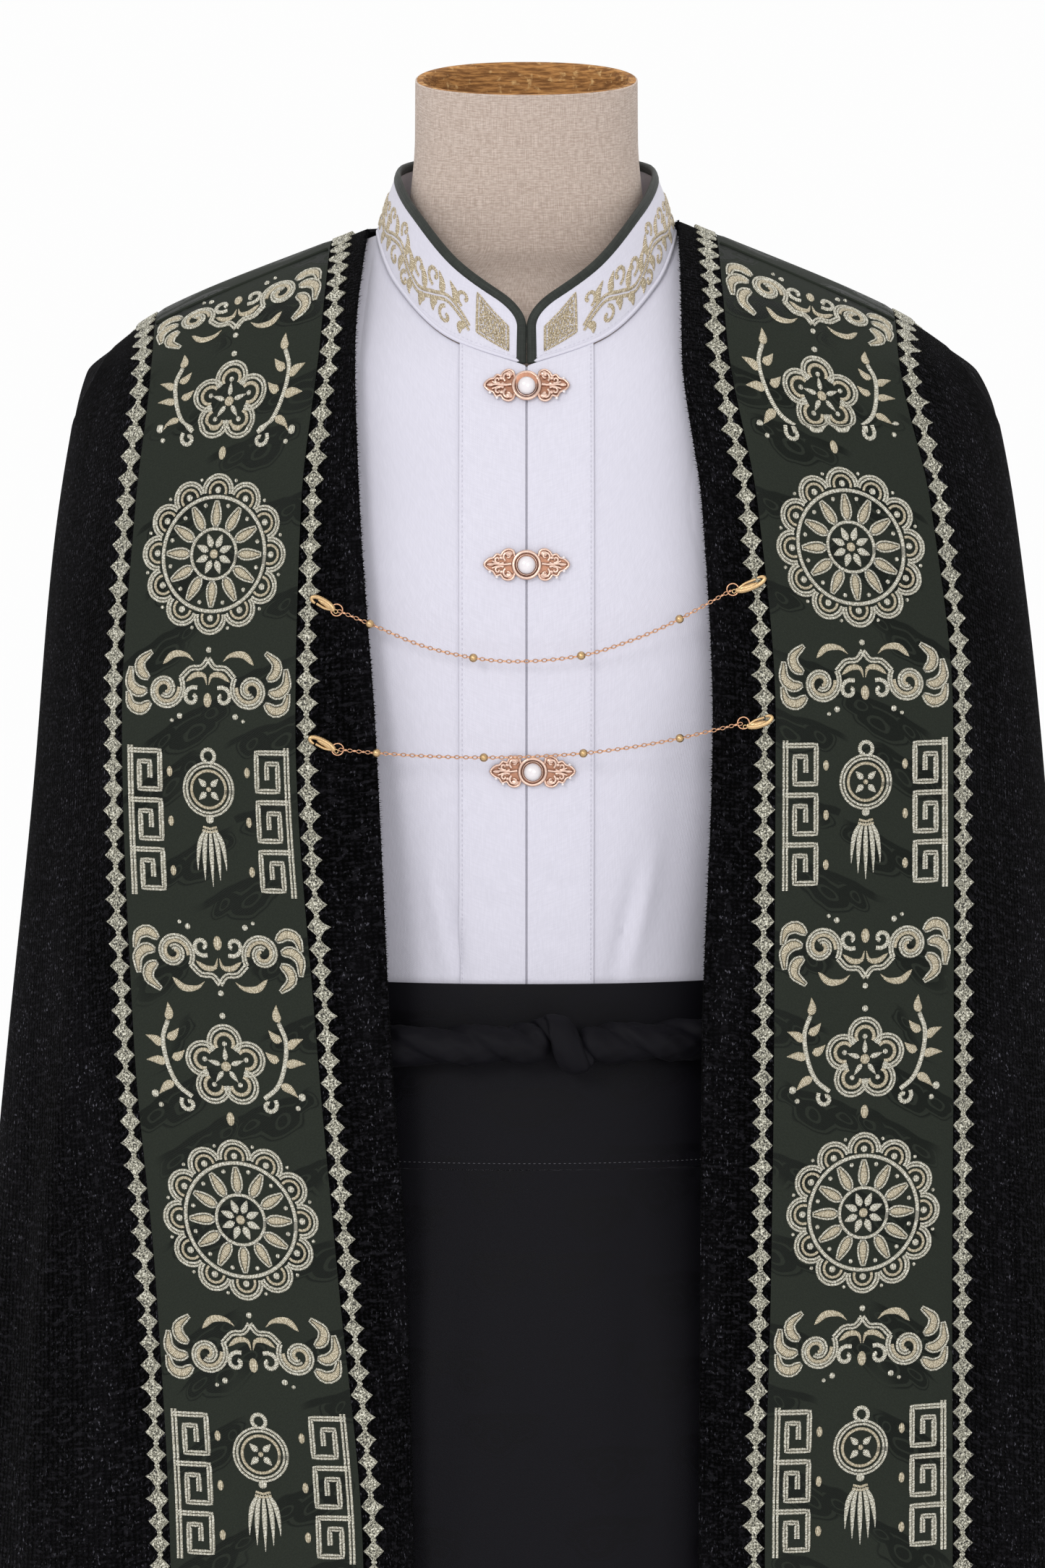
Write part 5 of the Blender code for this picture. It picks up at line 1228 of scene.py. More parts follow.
def plum_sprays():
    """A five-petalled blossom between two leafy sprays."""
    motif = Motif()
    for k in range(5):
        angle = 90 + 72 * k
        c, s = ray(angle)
        motif.line(arc(12.0 * c, 12.0 * s, 7.7, angle - 126, angle + 126), 1.4)
        motif.line(arc(11.4 * c, 11.4 * s, 4.7, angle - 120, angle + 120), 0.95, mark=1)
        motif.leaf((2.8 * c, 2.8 * s), (6.0 * c, 6.0 * s), (9.6 * c, 9.6 * s), half=1.2, mark=0)
        motif.spot(11.2 * c, 11.2 * s, 1.3)
    motif.spot(0, 0, 2.5, mark=1)
    motif.line(sweep((18.5, -15.5), (25.6, -9.5), (30.0, 1.0), (31.5, 13.0), (28.5, 22.0)), 1.15, mirror=True)
    for x, y, angle, size in ((26.0, -8.0, -35, 11.5), (29.2, 0.5, 8, 11.5), (31.0, 8.5, 32, 11.0),
                              (28.5, 3.0, 150, 9.0), (30.5, 12.5, 142, 9.5), (29.0, 21.0, 96, 10.0)):
        c, s = ray(angle)
        motif.leaf((x + 1.2 * c, y + 1.2 * s), (x + size * 0.5 * c - s, y + size * 0.5 * s + c),
                   (x + size * c, y + size * s), half=2.1, mirror=True)
    motif.line(curl(20.5, -19.0, 4.4, 1.1, 40, -280), 1.1, mirror=True)
    motif.spot(37.5, -14.5, 1.9, mirror=True)
    motif.spot(35.0, -20.0, 1.3, mirror=True)
    motif.spot(0, 25.0, 1.6)
    motif.spot(0, -26.0, 2.0, 3.4, mark=1)
    return motif


def motif_plan():
    """The order down a band: each motif, the room it takes, and whether it hangs upside down."""
    cloud, roundel, fret, spray = cloud_pair(), flower_roundel(), fret_and_coin(), plum_sprays()
    return ((cloud, 42, 1), (spray, 62, 1), (roundel, 84, 1), (cloud, 42, -1), (fret, 84, 1))


def embroider(relief, length, first_gap):
    """Stitch the motifs in order down a band, as far as they fit."""
    along, number = first_gap, 0
    plan = motif_plan()
    while True:
        motif, room, flip = plan[number % len(plan)]
        if along + room > length - 6:
            break
        motif.stitch(relief, along + room / 2, -flip)
        along += room + 3.0
        number += 1


def make_embroidery():
    lift = SEAM_GAP + BAND_WALL
    threads = [finishes()["embroidery"], finishes()["satin_stitch"]]
    for side, word in SIDES:
        front = FRONTS[side]
        rows, length = front.rows_along(3.5, 0.004)
        runs = np.linspace(0, length, len(rows)) / MM

        def surface(across, along, front=front, rows=rows, runs=runs, side=side):
            row = np.clip(np.interp(along, runs, rows), 1e-4, 1.9999)
            return front.knots(3.5 + side * across / BAND_MM, row)

        relief = Relief()
        embroider(relief, length / MM, 46.0)
        piece = relief.build("embroidery_" + word, surface, threads, lift)
        place_piece(piece)
    turns = np.linspace(-92, -268, 600)
    runs = run_lengths(CAPE.point(*BACK.place(3.5, turns))) / MM

    def surface(across, along):
        return BACK.knots(3.5 + across / BACK_BAND_MM, np.interp(along, runs, turns))

    relief = Relief()
    plan = motif_plan()
    middle = runs[-1] / 2
    for offset, number in ((0, 2), (-82, 1), (82, 1)):
        plan[number][0].turned().stitch(relief, middle + offset)
    piece = relief.build("embroidery_back", surface, threads, lift)
    place_piece(piece)


def shirt_grid(side, back, numbers, rows):
    """Knots of half a shirt panel. Columns run from the middle, 0, to the side, 8."""
    if back:
        lines, seams, middle = (0.0, 0.022, 0.046), (180, 160, 140, 115, 90), 0.0
    else:
        lines, seams, middle = (HALF_SEAM, PLACKET_WIDTH / 2, PLACKET_WIDTH), (0, 13, 26.1, 55, 90), HALF_SEAM
    numbers, rows = np.broadcast_arrays(numbers[None, :], rows[:, None])
    around = np.interp(numbers, range(5), seams)
    neck_x = np.maximum(NECK_HALF * np.sin(np.radians(around)), middle)
    top_x = np.where(numbers <= 4, neck_x, np.interp(numbers, range(4, 9), SHOULDER_XS))
    top_z = np.where(numbers <= 4, NECK_HEIGHT(around), SHIRT.ridge(side, top_x))

    def end_turn(z):
        return np.where((z > ARMHOLE_FOOT) & (z < ARMHOLE_TOP), ARM_TURN(z), 90.0)

    def body_turn(z):
        near = SHIRT.turn_at(np.interp(numbers, range(3), lines), z)
        return near + (end_turn(z) - near) * np.clip((numbers - 2) / 6, 0, 1)

    share = np.clip(rows, 0, 1)
    z = np.where(rows <= 1, top_z + (SHIRT_CHEST - top_z) * share ** 1.4,
                 SHIRT_CHEST - (rows - 1) * (SHIRT_CHEST - SHIRT_HEM))
    foot = body_turn(np.full(z.shape, SHIRT_CHEST))
    foot_x = np.abs(SHIRT.point(side * foot, SHIRT_CHEST)[..., 0])
    high = SHIRT.turn_at(top_x + (foot_x - top_x) * share, z)
    turn = np.where(rows < 1, high, body_turn(z))
    turn = np.where(numbers >= 8, end_turn(z), turn)
    on_shoulder = (rows <= 0) & (numbers >= 4)
    turn = np.where(on_shoulder, 90.0, turn)
    if back:
        turn = 180 - turn
    points, normals = SHIRT.point(side * turn, z), SHIRT.normal(side * turn, z)
    seam = on_shoulder | ((numbers >= 8) & (z <= ARMHOLE_FOOT))
    points[..., 1] += np.where(seam, HALF_SEAM if back else -HALF_SEAM, 0.0)
    return points, normals


def make_shirt():
    rows = np.concatenate((np.linspace(0, 1, 31), np.linspace(1, 2, 101)[1:]))
    numbers = np.concatenate((np.linspace(0, 2, 15), np.linspace(2, 8, 49)[1:]))
    outside = SEAM_GAP + SHIRT_WALL
    for side, word in SIDES:
        points, normals = shirt_grid(side, False, numbers, rows)
        points[:, 0, 0] = side * CLOSED_EDGE
        lay_cloth("shirt_panel_" + word, points, normals, -SHIRT_WALL, 0.0, "shirting", "shirt_front_" + word)
        band, out = points[:, :15].copy(), normals[:, :15]
        band[:, 0, 0] = side * PLACKET_GAP / 2
        lay_cloth("placket_" + word, band, out, SEAM_GAP, outside, "shirting", "shirt_placket_" + word,
                  soft=0.6)
        stitches("placket_stitch_" + word, band[:, -2] + (band[:, -1] - band[:, -2]) * 0.4, out[:, -2], outside,
                 "white_thread")
    halves = {side: shirt_grid(side, True, numbers[::2], rows[::2]) for side, _ in SIDES}
    points, normals = (np.concatenate((left[:, :0:-1], right), axis=1)
                       for left, right in zip(halves[-1], halves[1]))
    lay_cloth("shirt_back_panel", points, normals, -SHIRT_WALL, 0.0, "shirting", "shirt_back")
    make_collar()
    for side, word in SIDES:
        make_sleeve(side, word)


def stitches(name, points, normals, lift, thread):
    """A row of short raised stitches along a line of points."""
    runs = run_lengths(points)
    row = Solid()
    start = STITCH_GAP
    angles = (2 * np.pi * np.arange(5) / 5)[:, None]
    while start + STITCH_LENGTH < runs[-1]:
        marks = np.interp((start, start + STITCH_LENGTH / 2, start + STITCH_LENGTH), runs, np.arange(len(points)))
        spots = []
        for mark, rise in zip(marks, (-0.1, 0.7, -0.1)):
            low = min(int(mark), len(points) - 2)
            spot = points[low] + (points[low + 1] - points[low]) * (mark - low)
            spots.append(spot + normals[low] * (lift + STITCH_RADIUS * rise))
        normal = normals[min(int(marks[1]), len(points) - 1)]
        side = unit(np.cross(unit(spots[-1] - spots[0]), normal))
        row.rings([spot + STITCH_RADIUS * swell * (side * np.cos(angles) + normal * np.sin(angles))
                   for spot, swell in zip(spots, (0.7, 1.0, 0.7))])
        start += STITCH_LENGTH + STITCH_GAP
    uv = [(0.0, 0.0)] * sum(len(face) for face in row.faces)
    return place_piece(row.build(name, finishes()[thread], uv, None))


def neck_points(turn):
    """Points on the neck seam, round from the front middle."""
    around = np.where(turn <= 180, turn, 360 - turn)
    z = NECK_HEIGHT(around)
    x = NECK_HALF * np.sin(np.radians(turn))
    body = SHIRT.turn_at(x, z)
    body = np.where(around > 90, 180 - body, body)
    return SHIRT.point(np.where(turn <= 180, 1, -1) * body, z) + (0, 0, SEAM_GAP + SHIRT_WALL)


def collar_points(turn, rise):
    """Points on the stand collar: rise is 0 at its foot and 1 at its top."""
    turn, rise = np.broadcast_arrays(np.asarray(turn, float), np.asarray(rise, float))
    foot = neck_points(turn)
    angle = np.radians(turn)
    top = np.stack((COLLAR_HALF * np.sin(angle),
                    COLLAR_MIDDLE - COLLAR_REACH * np.cos(angle) + COLLAR_SIDE_SHIFT * np.sin(angle) ** 2,
                    COLLAR_HEIGHT(np.where(turn <= 180, turn, 360 - turn))), axis=-1)
    swell = np.sin(np.pi * rise)[..., None] * 0.0006
    out = unit(np.stack((np.sin(angle), -np.cos(angle), 0 * angle), -1))
    return foot + (top - foot) * rise[..., None] + out * swell


def collar_normals(turn, rise):
    across = collar_points(turn + 0.8, rise) - collar_points(turn - 0.8, rise)
    up = collar_points(turn, np.asarray(rise) * 0 + 1.0) - collar_points(turn, np.asarray(rise) * 0)
    return unit(np.cross(across, up))


def binding_path():
    """Turn and rise of the binding's middle, up one front end, round the neck and down the other."""
    bend_end, bend_foot = COLLAR_START + 11, 0.62
    t = np.linspace(0, 1, 14)[:, None]
    low, corner, high = (np.array(spot) for spot in (
        (COLLAR_START, bend_foot), (COLLAR_START, COLLAR_RISE), (bend_end, COLLAR_RISE)))
    start = [(COLLAR_START, rise) for rise in np.linspace(-0.02, bend_foot, 10)[:-1]]
    bend = (1 - t) ** 2 * low + 2 * t * (1 - t) * corner + t * t * high
    top = [(turn, COLLAR_RISE) for turn in np.linspace(bend_end, 180, 60)[1:]]
    half = np.concatenate((start, bend, top))
    return np.concatenate((half, half[-2::-1] * (-1, 1) + (360, 0)))


def make_collar():
    path = binding_path()
    ahead = path[:len(path) // 2]
    bend_end = COLLAR_START + 11
    turns = np.concatenate((np.linspace(COLLAR_START + 0.4, bend_end, 12), np.linspace(bend_end, 180, 64)[1:]))
    order = np.argsort(ahead[:, 0], kind="stable")
    crest = np.interp(turns, ahead[order][:, 0], np.maximum.accumulate(ahead[order][:, 1]))
    turns = np.concatenate((turns, 360 - turns[-2::-1]))
    crest = np.concatenate((crest, crest[-2::-1]))
    rises = np.linspace(0, 1, 15)[:, None] * crest[None, :]
    grid = np.broadcast_to(turns[None, :], rises.shape)
    points, normals = collar_points(grid, rises), collar_normals(grid, rises)
    lay_cloth("stand_collar", points, normals, -SHIRT_WALL, SHIRT_WALL / 2, "shirting", "shirt_collar")
    stitches("collar_seam_stitch", points[1], normals[1], SHIRT_WALL / 2, "white_thread")
    make_binding(*path.T)
    make_collar_vine()
    around = np.linspace(COLLAR_START + 0.6, 360 - COLLAR_START - 0.6, 160)
    roll = Solid()
    roll.tube(collar_points(around, 0.0 * around) + collar_normals(around, 0.0 * around) * 0.0002, 0.0010, 10)
    place_piece(roll.build("collar_foot_seam", finishes()["shirting"]))


def make_binding(turns, rises):
    """A rolled strip of green cloth over the collar's edge."""
    middles, normals = collar_points(turns, rises), collar_normals(turns, rises)
    side = unit(np.cross(heading(middles), normals))
    sections, step = 14, 0.0006
    rings = []
    for k in range(sections):
        c, s = ray(-360 * k / sections)
        wide = BINDING_WIDE * math.copysign(abs(c) ** 0.7, c)
        rings.append(middles + side * wide + normals * (BINDING_DEEP * s - SHIRT_WALL / 4))
    edge = Solid()
    edge.rings(np.stack(rings, 1))
    uv = ring_uv([(sections - k) * step for k in range(sections + 1)], run_lengths(middles))
    place_piece(edge.build("collar_bias_binding", finishes()["piping"], uv), ["collar_binding"])


def make_collar_vine():
    """A lozenge of couched thread at each front end of the collar, then a leafy vine along it."""
    for side, word in SIDES:
        motif = Relief()
        lozenge = np.array(((3.5, 4.5), (19.5, 8.5), (21.0, 29.0), (4.0, 19.5)))
        outline = []
        for one, other in zip(lozenge, np.roll(lozenge, -1, 0)):
            outline += [one + (other - one) * k / 12 for k in range(12)]
        motif.ribbon(outline, 0.7, 0.6, closed=True)
        random.seed(3)
        for row in range(15):
            for column in range(13):
                a, b = (column + 0.5) / 13, (row + 0.5) / 15
                low = lozenge[0] + (lozenge[1] - lozenge[0]) * a
                high = lozenge[3] + (lozenge[2] - lozenge[3]) * a
                spot = lozenge.mean(0) + (low + (high - low) * b - lozenge.mean(0)) * 0.86
                spot += (random.uniform(-0.3, 0.3), random.uniform(-0.3, 0.3))
                motif.dome(*spot, random.uniform(0.5, 0.85), random.uniform(0.5, 0.85), random.uniform(0.4, 0.7), 6)
        stem, curls = collar_vine()
        for line in (stem, stem - (0.0, 2.6)):
            motif.ribbon(line, 0.8, 0.7)
        for line in curls:
            motif.ribbon(line, 0.9, 0.7)
        for leaf in collar_leaves(stem):
            share = np.linspace(0, 1, len(leaf))
            motif.ribbon(leaf, 0.35 + 1.7 * np.sin(np.pi * share ** 0.7), 0.7)

        def surface(across, along, side=side):
            turn = COLLAR_START + 2.2 + np.asarray(across) / COLLAR_MM
            rise = COLLAR_FREE * along / COLLAR_ROOM
            if side < 0:
                turn = 360 - turn
            return collar_points(turn, rise), collar_normals(turn, rise)

        piece = motif.build("collar_embroidery_" + word, surface, finishes()["collar_thread"], SHIRT_WALL / 2)
        place_piece(piece)




def collar_vine():
    """A wavy stem and its curls, in millimetres along and up the collar."""
    stem = sweep((23.5, 10.0), (29, 15), (37, 18), (46, 14), (55, 10), (64, 13), (73, 18), (82, 16), (92, 11),
                 (102, 15), (112, 18))
    curls = [curl(x, y, outer, 0.9, start, end) for x, y, outer, start, end in (
        (28.0, 22.0, 4.6, -80, 240), (37.0, 8.2, 4.6, 80, -250), (46.5, 21.5, 4.8, -90, 240),
        (56.5, 18.5, 4.6, -100, 230), (65.5, 5.6, 3.6, 100, -230), (72.5, 24.6, 4.0, -70, 260),
        (76.5, 8.6, 4.4, 80, -250), (87.0, 22.5, 4.6, -90, 240), (96.0, 20.5, 4.6, -100, 230),
        (105.0, 7.0, 4.2, 90, -240))]
    return stem, curls


def collar_leaves(stem):
    """Filled leaves that grow out of the stem."""
    leaves = []
    for x, angle, size in (
        (26, -70, 6.5), (32, 60, 10.0), (41, 70, 9.0), (43, -80, 7.0), (50, -70, 7.0), (51, 60, 11.0), (61, 60, 10.0),
        (60, -90, 6.0), (69, -80, 7.5), (68, 80, 9.0), (79, 60, 9.0), (83, -80, 8.0), (90, 70, 8.0), (91, -80, 6.5),
        (100, 60, 9.0), (99, -80, 7.0), (108, 60, 8.0),
    ):
        c, s = ray(angle)
        y = float(np.interp(x, stem[:, 0], stem[:, 1])) - (2.6 if angle < 0 else 0.0)
        leaves.append(sweep((x, y), (x + size * 0.5 * c - 1.4 * s, y + size * 0.5 * s + 1.4 * c),
                            (x + size * c, y + size * s)))
    return leaves


def ring_sheet(rings):
    """Points and outward normals of a tube through rings."""
    rings = np.asarray(rings)
    across = np.roll(rings, -1, 1) - np.roll(rings, 1, 1)
    down = np.gradient(rings, axis=0)
    normals = unit(np.cross(across, down))
    outward = rings - rings.mean(axis=1, keepdims=True)
    flip = np.sign((normals * outward).sum(-1).mean())
    return rings, normals * flip


def sleeve_oval(side, ring, angles):
    """One level ring of a sleeve."""
    return np.stack((side * (ring.middle + ring.half * np.cos(angles)), -ring.depth * np.sin(angles),
                     np.full(angles.shape, ring.z)), -1)


def sleeve_tube(side, one, other, angles, count):
    """Rings spread evenly between two rows of a sleeve's table."""
    return [sleeve_oval(side, SleeveRing(*(a + (b - a) * share for a, b in zip(one, other))), angles)
            for share in np.linspace(0, 1, count)]


def make_sleeve(side, word):
    angles = np.radians(np.arange(60) * 6.0)
    z = (ARMHOLE_TOP + ARMHOLE_FOOT) / 2 + (ARMHOLE_TOP - ARMHOLE_FOOT) / 2 * np.cos(angles)
    turn = np.where(np.abs(np.sin(angles)) > 0.02, ARM_TURN(z), 90.0)
    turn = np.where(np.sin(angles) < 0, 180 - turn, turn)
    drop = (1 - np.cos(angles)) / 2
    top = SHIRT.point(side * turn, z) + np.stack((side * (0.0010 + 0.0022 * drop), 0 * z, -0.002 * drop), -1)
    first = sleeve_oval(side, SLEEVE_RINGS[0], angles)
    rings = []
    for share in np.linspace(0, 1, 21)[:-1]:
        bulge = SLEEVE_CAP_BULGE * 4 * share * (1 - share) * (1 + np.cos(angles)) / 2
        rings.append(top + (first - top) * share + np.stack((side * bulge, 0 * z, 0 * z), -1))
    for one, other in zip(SLEEVE_RINGS, SLEEVE_RINGS[1:]):
        rings += sleeve_tube(side, one, other, angles, 16)[:-1]
    rings.append(sleeve_oval(side, SLEEVE_RINGS[-1], angles))
    points, normals = ring_sheet(rings)
    level = points[..., 2]
    ripple = np.sin(level * 95 + np.cos(angles) * 2.2) * np.clip((1.2 - level) * 6, 0, 1) * 0.0011
    points = points + normals * (ripple * np.clip((level - 0.79) * 25, 0, 1))[..., None]
    lay_cloth("sleeve_" + word, points, normals, -SHIRT_WALL, 0.0, "shirting", "shirt_sleeve_" + word,
              closed=True)
    points, normals = ring_sheet(sleeve_tube(side, *CUFF_RINGS, angles, 12))
    lay_cloth("cuff_" + word, points, normals, -2 * SHIRT_WALL, 0.0, "shirting", "shirt_cuff_" + word,
              True)


def make_skirt():
    turns = np.arange(-180, 180, 2.5)[None, :]
    rows = np.linspace(SKIRT_TOP, SKIRT_YOKE + SEAM_GAP, 24)[:, None]
    lay_cloth("wide_waistband", SKIRT.point(turns, rows), SKIRT.normal(turns, rows), -SKIRT_WALL, 0.0, "satin",
              "skirt_waistband", True)
    seam = np.arange(-110, 110.1, 1.5)
    level = np.full(seam.shape, SKIRT_YOKE + 0.0035)
    stitches("waistband_stitch", SKIRT.point(seam, level), SKIRT.normal(seam, level), 0.0, "grey_thread")
    rows = np.linspace(SKIRT_YOKE, SKIRT_HEM, 81)[:, None]
    for node, start, shift in (("skirt_front", -90, -HALF_SEAM), ("skirt_back", 90, HALF_SEAM)):
        turns = start + np.linspace(0, 180, 109)[None, :]
        points, normals = SKIRT.point(turns, rows), SKIRT.normal(turns, rows)
        points[:, [0, -1], 1] += shift
        lay_cloth(node + "_panel", points, normals, -SKIRT_WALL, 0.0, "satin", node)


def twisted_tube(name, centres, outs, radii, turns_over, node, blunt):
    """A twisted roll of cloth: sharp diagonal folds wind round a line of centres."""
    count, sections = len(centres), 32
    along = heading(centres)
    ups = unit(np.cross(along, outs))
    outs = unit(np.cross(ups, along))
    runs = run_lengths(centres)
    rings = np.empty((count, sections, 3))
    for k in range(count):
        twist = 2 * math.pi * turns_over * k / (count - 1) + 0.5 * math.sin(runs[k] * 60)
        near_end = min(runs[k], runs[-1] - runs[k])
        close = math.sqrt(1 - (1 - min(near_end / blunt, 1.0)) ** 2 * 0.75)
        for j in range(sections):
            angle = 2 * math.pi * j / sections
            fold = (2 * (angle - twist) / (2 * math.pi)) % 1.0
            pleat = (5 * (angle - 1.15 * twist) / (2 * math.pi)) % 1.0
            reach = 0.62 + 0.38 * fold ** 0.6 * (1 - fold ** 12) + 0.10 * pleat * (1 - pleat ** 8)
            reach = (reach + 0.02 * math.sin(9 * angle + runs[k] * 330)) * close
            rings[k, j] = (centres[k] + outs[k] * radii[0] * reach * math.cos(angle)
                           + ups[k] * radii[1] * reach * math.sin(angle))
    girth = run_lengths(rings[count // 2])[-1]
    roll = Solid()
    roll.rings(rings)
    uv = ring_uv([j * 0.0020 for j in range(sections + 1)], runs)
    piece = roll.build(name, finishes()["satin"], uv, 70)
    facts = (girth / 2, runs[-1], girth / 2 * runs[-1])
    return place_piece(piece, [node], facts)


def make_tie():
    """The twisted roll round the waist and, over its two ends, the wrap that holds them."""
    reach = KNOT_HALF + 0.0004
    start = float(SKIRT.turn_at(KNOT_X + reach, TIE_HEIGHT))
    end = 360 + float(SKIRT.turn_at(KNOT_X - reach, TIE_HEIGHT))
    turns = np.linspace(start, end, 480)
    level = np.full(turns.shape, TIE_HEIGHT)
    points, normals = SKIRT.point(turns, level), SKIRT.normal(turns, level)
    normals[:, 2] = 0
    normals = unit(normals)
    centres = points + normals * (TIE_LONG + SEAM_GAP)
    centres[:, 2] += 0.0014 * np.sin(np.linspace(0, 26, len(turns)))
    twisted_tube("twisted_waist_tie", centres, normals, (0.0104, 0.0108), 15.5, "waist_tie", 0.006)
    middle = SKIRT.point(SKIRT.turn_at(KNOT_X, TIE_HEIGHT), TIE_HEIGHT)
    share = np.linspace(0, 1, 60)
    angle = np.radians(-62 + 235 * share)
    centres = np.stack((KNOT_X - 0.011 + 0.021 * share, middle[1] - 0.0118 - 0.0102 * np.sin(angle) * 0.62,
                        TIE_HEIGHT + 0.0112 * np.cos(angle)), 1)
    outs = unit(np.stack((0 * share, -np.sin(angle), np.cos(angle)), 1))
    twisted_tube("tie_wrap", centres, outs, (0.0046, 0.0092), 0.25, "tie_knot", 0.004)


def make_form():
    """The linen torso with its open neck, and the paint of the pole and the base."""
    tables = {name: track(FORM_RINGS, name) for name in ("half", "front", "back")}
    turns = np.radians(180 + np.arange(96) * 3.75)
    top = FORM_RINGS[-1].z

    def ring(z, inset=0.0, flat=None):
        sine, cosine = np.sin(turns), np.cos(turns)
        half = tables["half"](z) - inset
        depth = np.where(cosine >= 0, tables["front"](z), tables["back"](z)) - inset
        x = half * np.sign(sine) * np.abs(sine) ** (2 / FORM_POWER)
        y = -depth * np.sign(cosine) * np.abs(cosine) ** (2 / FORM_POWER)
        tilt = np.clip((z - NECK_TILT_FROM) / (top - NECK_TILT_FROM), 0, 1)
        height = z + NECK_TILT * tilt * (y - 0.005) if flat is None else np.full(x.shape, flat)
        return np.stack((x, y, height), -1)

    heights = np.concatenate((np.linspace(0.8, 1.33, 40), np.linspace(1.33, 1.43, 44)[1:],
                              np.linspace(1.43, top, 24)[1:]))
    outer = [ring(z) for z in heights]
    lip = [ring(top + 0.0004, inset) for inset in (0.0008, NECK_WALL - 0.0008)]
    inner = [ring(z, NECK_WALL + 0.0006 * math.sin(z * 900)) for z in np.linspace(top, NECK_TILT_FROM + 0.004, 24)]
    rings = np.array([*outer, *lip, *inner, ring(NECK_TILT_FROM + 0.002, NECK_WALL, NECK_WELL)])
    sides = len(turns)
    torso = Solid()
    torso.rings(rings)
    uv = ring_uv((*run_lengths(rings[40]), FORM_GIRTH), run_lengths(rings[:, 24]))
    piece = torso.build("linen_torso", [finishes()["linen"], finishes()["paper"]], uv, 50)
    inside = [int(row >= len(outer)) for row in range(len(rings) - 1) for _ in range(sides)] + [0, 1]
    piece.data.polygons.foreach_set("material_index", inside)
    place_piece(piece, ["form_torso"])
    for node in ("form_pole", "form_base"):
        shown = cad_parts[node]
        shown.data.materials.clear()
        shown.data.materials.append(finishes()["steel"])


class Solid:
    """Vertices and faces of one joined mesh, built from tubes, plates and balls."""

    def __init__(self):
        self.vertices, self.faces = [], []

    def rings(self, rings, closed=False):
        rings = np.asarray(rings)
        self.faces += ring_faces(*rings.shape[:2], closed, len(self.vertices))
        self.vertices += list(rings.reshape(-1, 3))

    def tube(self, path, radius, sides=10, closed=False, flat=1.0, up=FACING):
        path = np.asarray(path, float)
        along = heading(path, closed)
        side = unit(np.cross(along, up))
        top = unit(np.cross(side, along)) * flat
        angles = (2 * np.pi * np.arange(sides) / sides)[:, None]
        radii = np.broadcast_to(radius, (len(path),))[:, None, None]
        round_it = side[:, None] * np.cos(angles) + top[:, None] * np.sin(angles)
        self.rings(path[:, None] + radii * round_it, closed)

    def plate(self, front, back):
        """A flat plate between two matching outlines."""
        base, count = len(self.vertices), len(front)
        self.vertices += [*front, *back]
        self.faces.append(tuple(base + k for k in range(count)))
        self.faces.append(tuple(base + count + k for k in reversed(range(count))))
        for k in range(count):
            other = (k + 1) % count
            self.faces.append((base + k, base + count + k, base + count + other, base + other))

    def ball(self, centre, radii, sides=16, rows=10):
        """A ball or a flattened one, whose poles face front and back."""
        base = len(self.vertices)
        down = (np.pi * np.arange(1, rows) / rows)[:, None]
        angles = 2 * np.pi * np.arange(sides) / sides
        rings = np.stack((np.sin(down) * np.cos(angles), -np.cos(down) + 0 * angles,
                          np.sin(down) * np.sin(angles)), -1).reshape(-1, 3)
        self.vertices += list(np.array([(0, -1, 0), *rings, (0, 1, 0)]) * radii + centre)
        last = len(self.vertices) - 1
        for j in range(sides):
            k = (j + 1) % sides
            self.faces += [(base, base + 1 + j, base + 1 + k), (last, last - sides + k, last - sides + j)]
            for row in range(rows - 2):
                a, b = base + 1 + row * sides + j, base + 1 + row * sides + k
                self.faces.append((a, a + sides, b + sides, b))

    def build(self, name, material, uv=None, sharp=60):
        return make_mesh(name, self.vertices, self.faces, material, uv, sharp=sharp)


def frog_lines():
    """Lines of one cast wing in millimetres from the clasp's middle: scrolls inside a pointed leaf."""
    outline = sweep((5.8, 3.6), (6.6, 6.8), (9.2, 7.6), (11.6, 6.2), (12.6, 4.6), (14.6, 5.2), (16.2, 3.4), (18.4, 2.9),
                    (20.8, 0.2), (18.6, -2.3), (16.4, -3.2), (15.0, -5.4), (12.8, -4.8), (11.4, -6.6), (9.0, -7.4),
                    (6.6, -6.4), (5.8, -3.6))
    scrolls = [curl(9.2, 4.3, 2.6, 0.6, -60, 290), curl(9.2, -4.1, 2.6, 0.6, 60, -290),
               curl(14.2, 2.6, 1.8, 0.5, -120, 200), curl(14.0, -2.6, 1.8, 0.5, 120, -200),
               sweep((7.6, 0.6), (11.0, 0.2), (15.0, 0.5), (19.4, 0.2)), sweep((11.4, 1.0), (13.4, 0.4), (16.8, 1.9)),
               sweep((11.4, -1.0), (13.6, -0.6), (17.0, -1.6))]
    return outline, scrolls


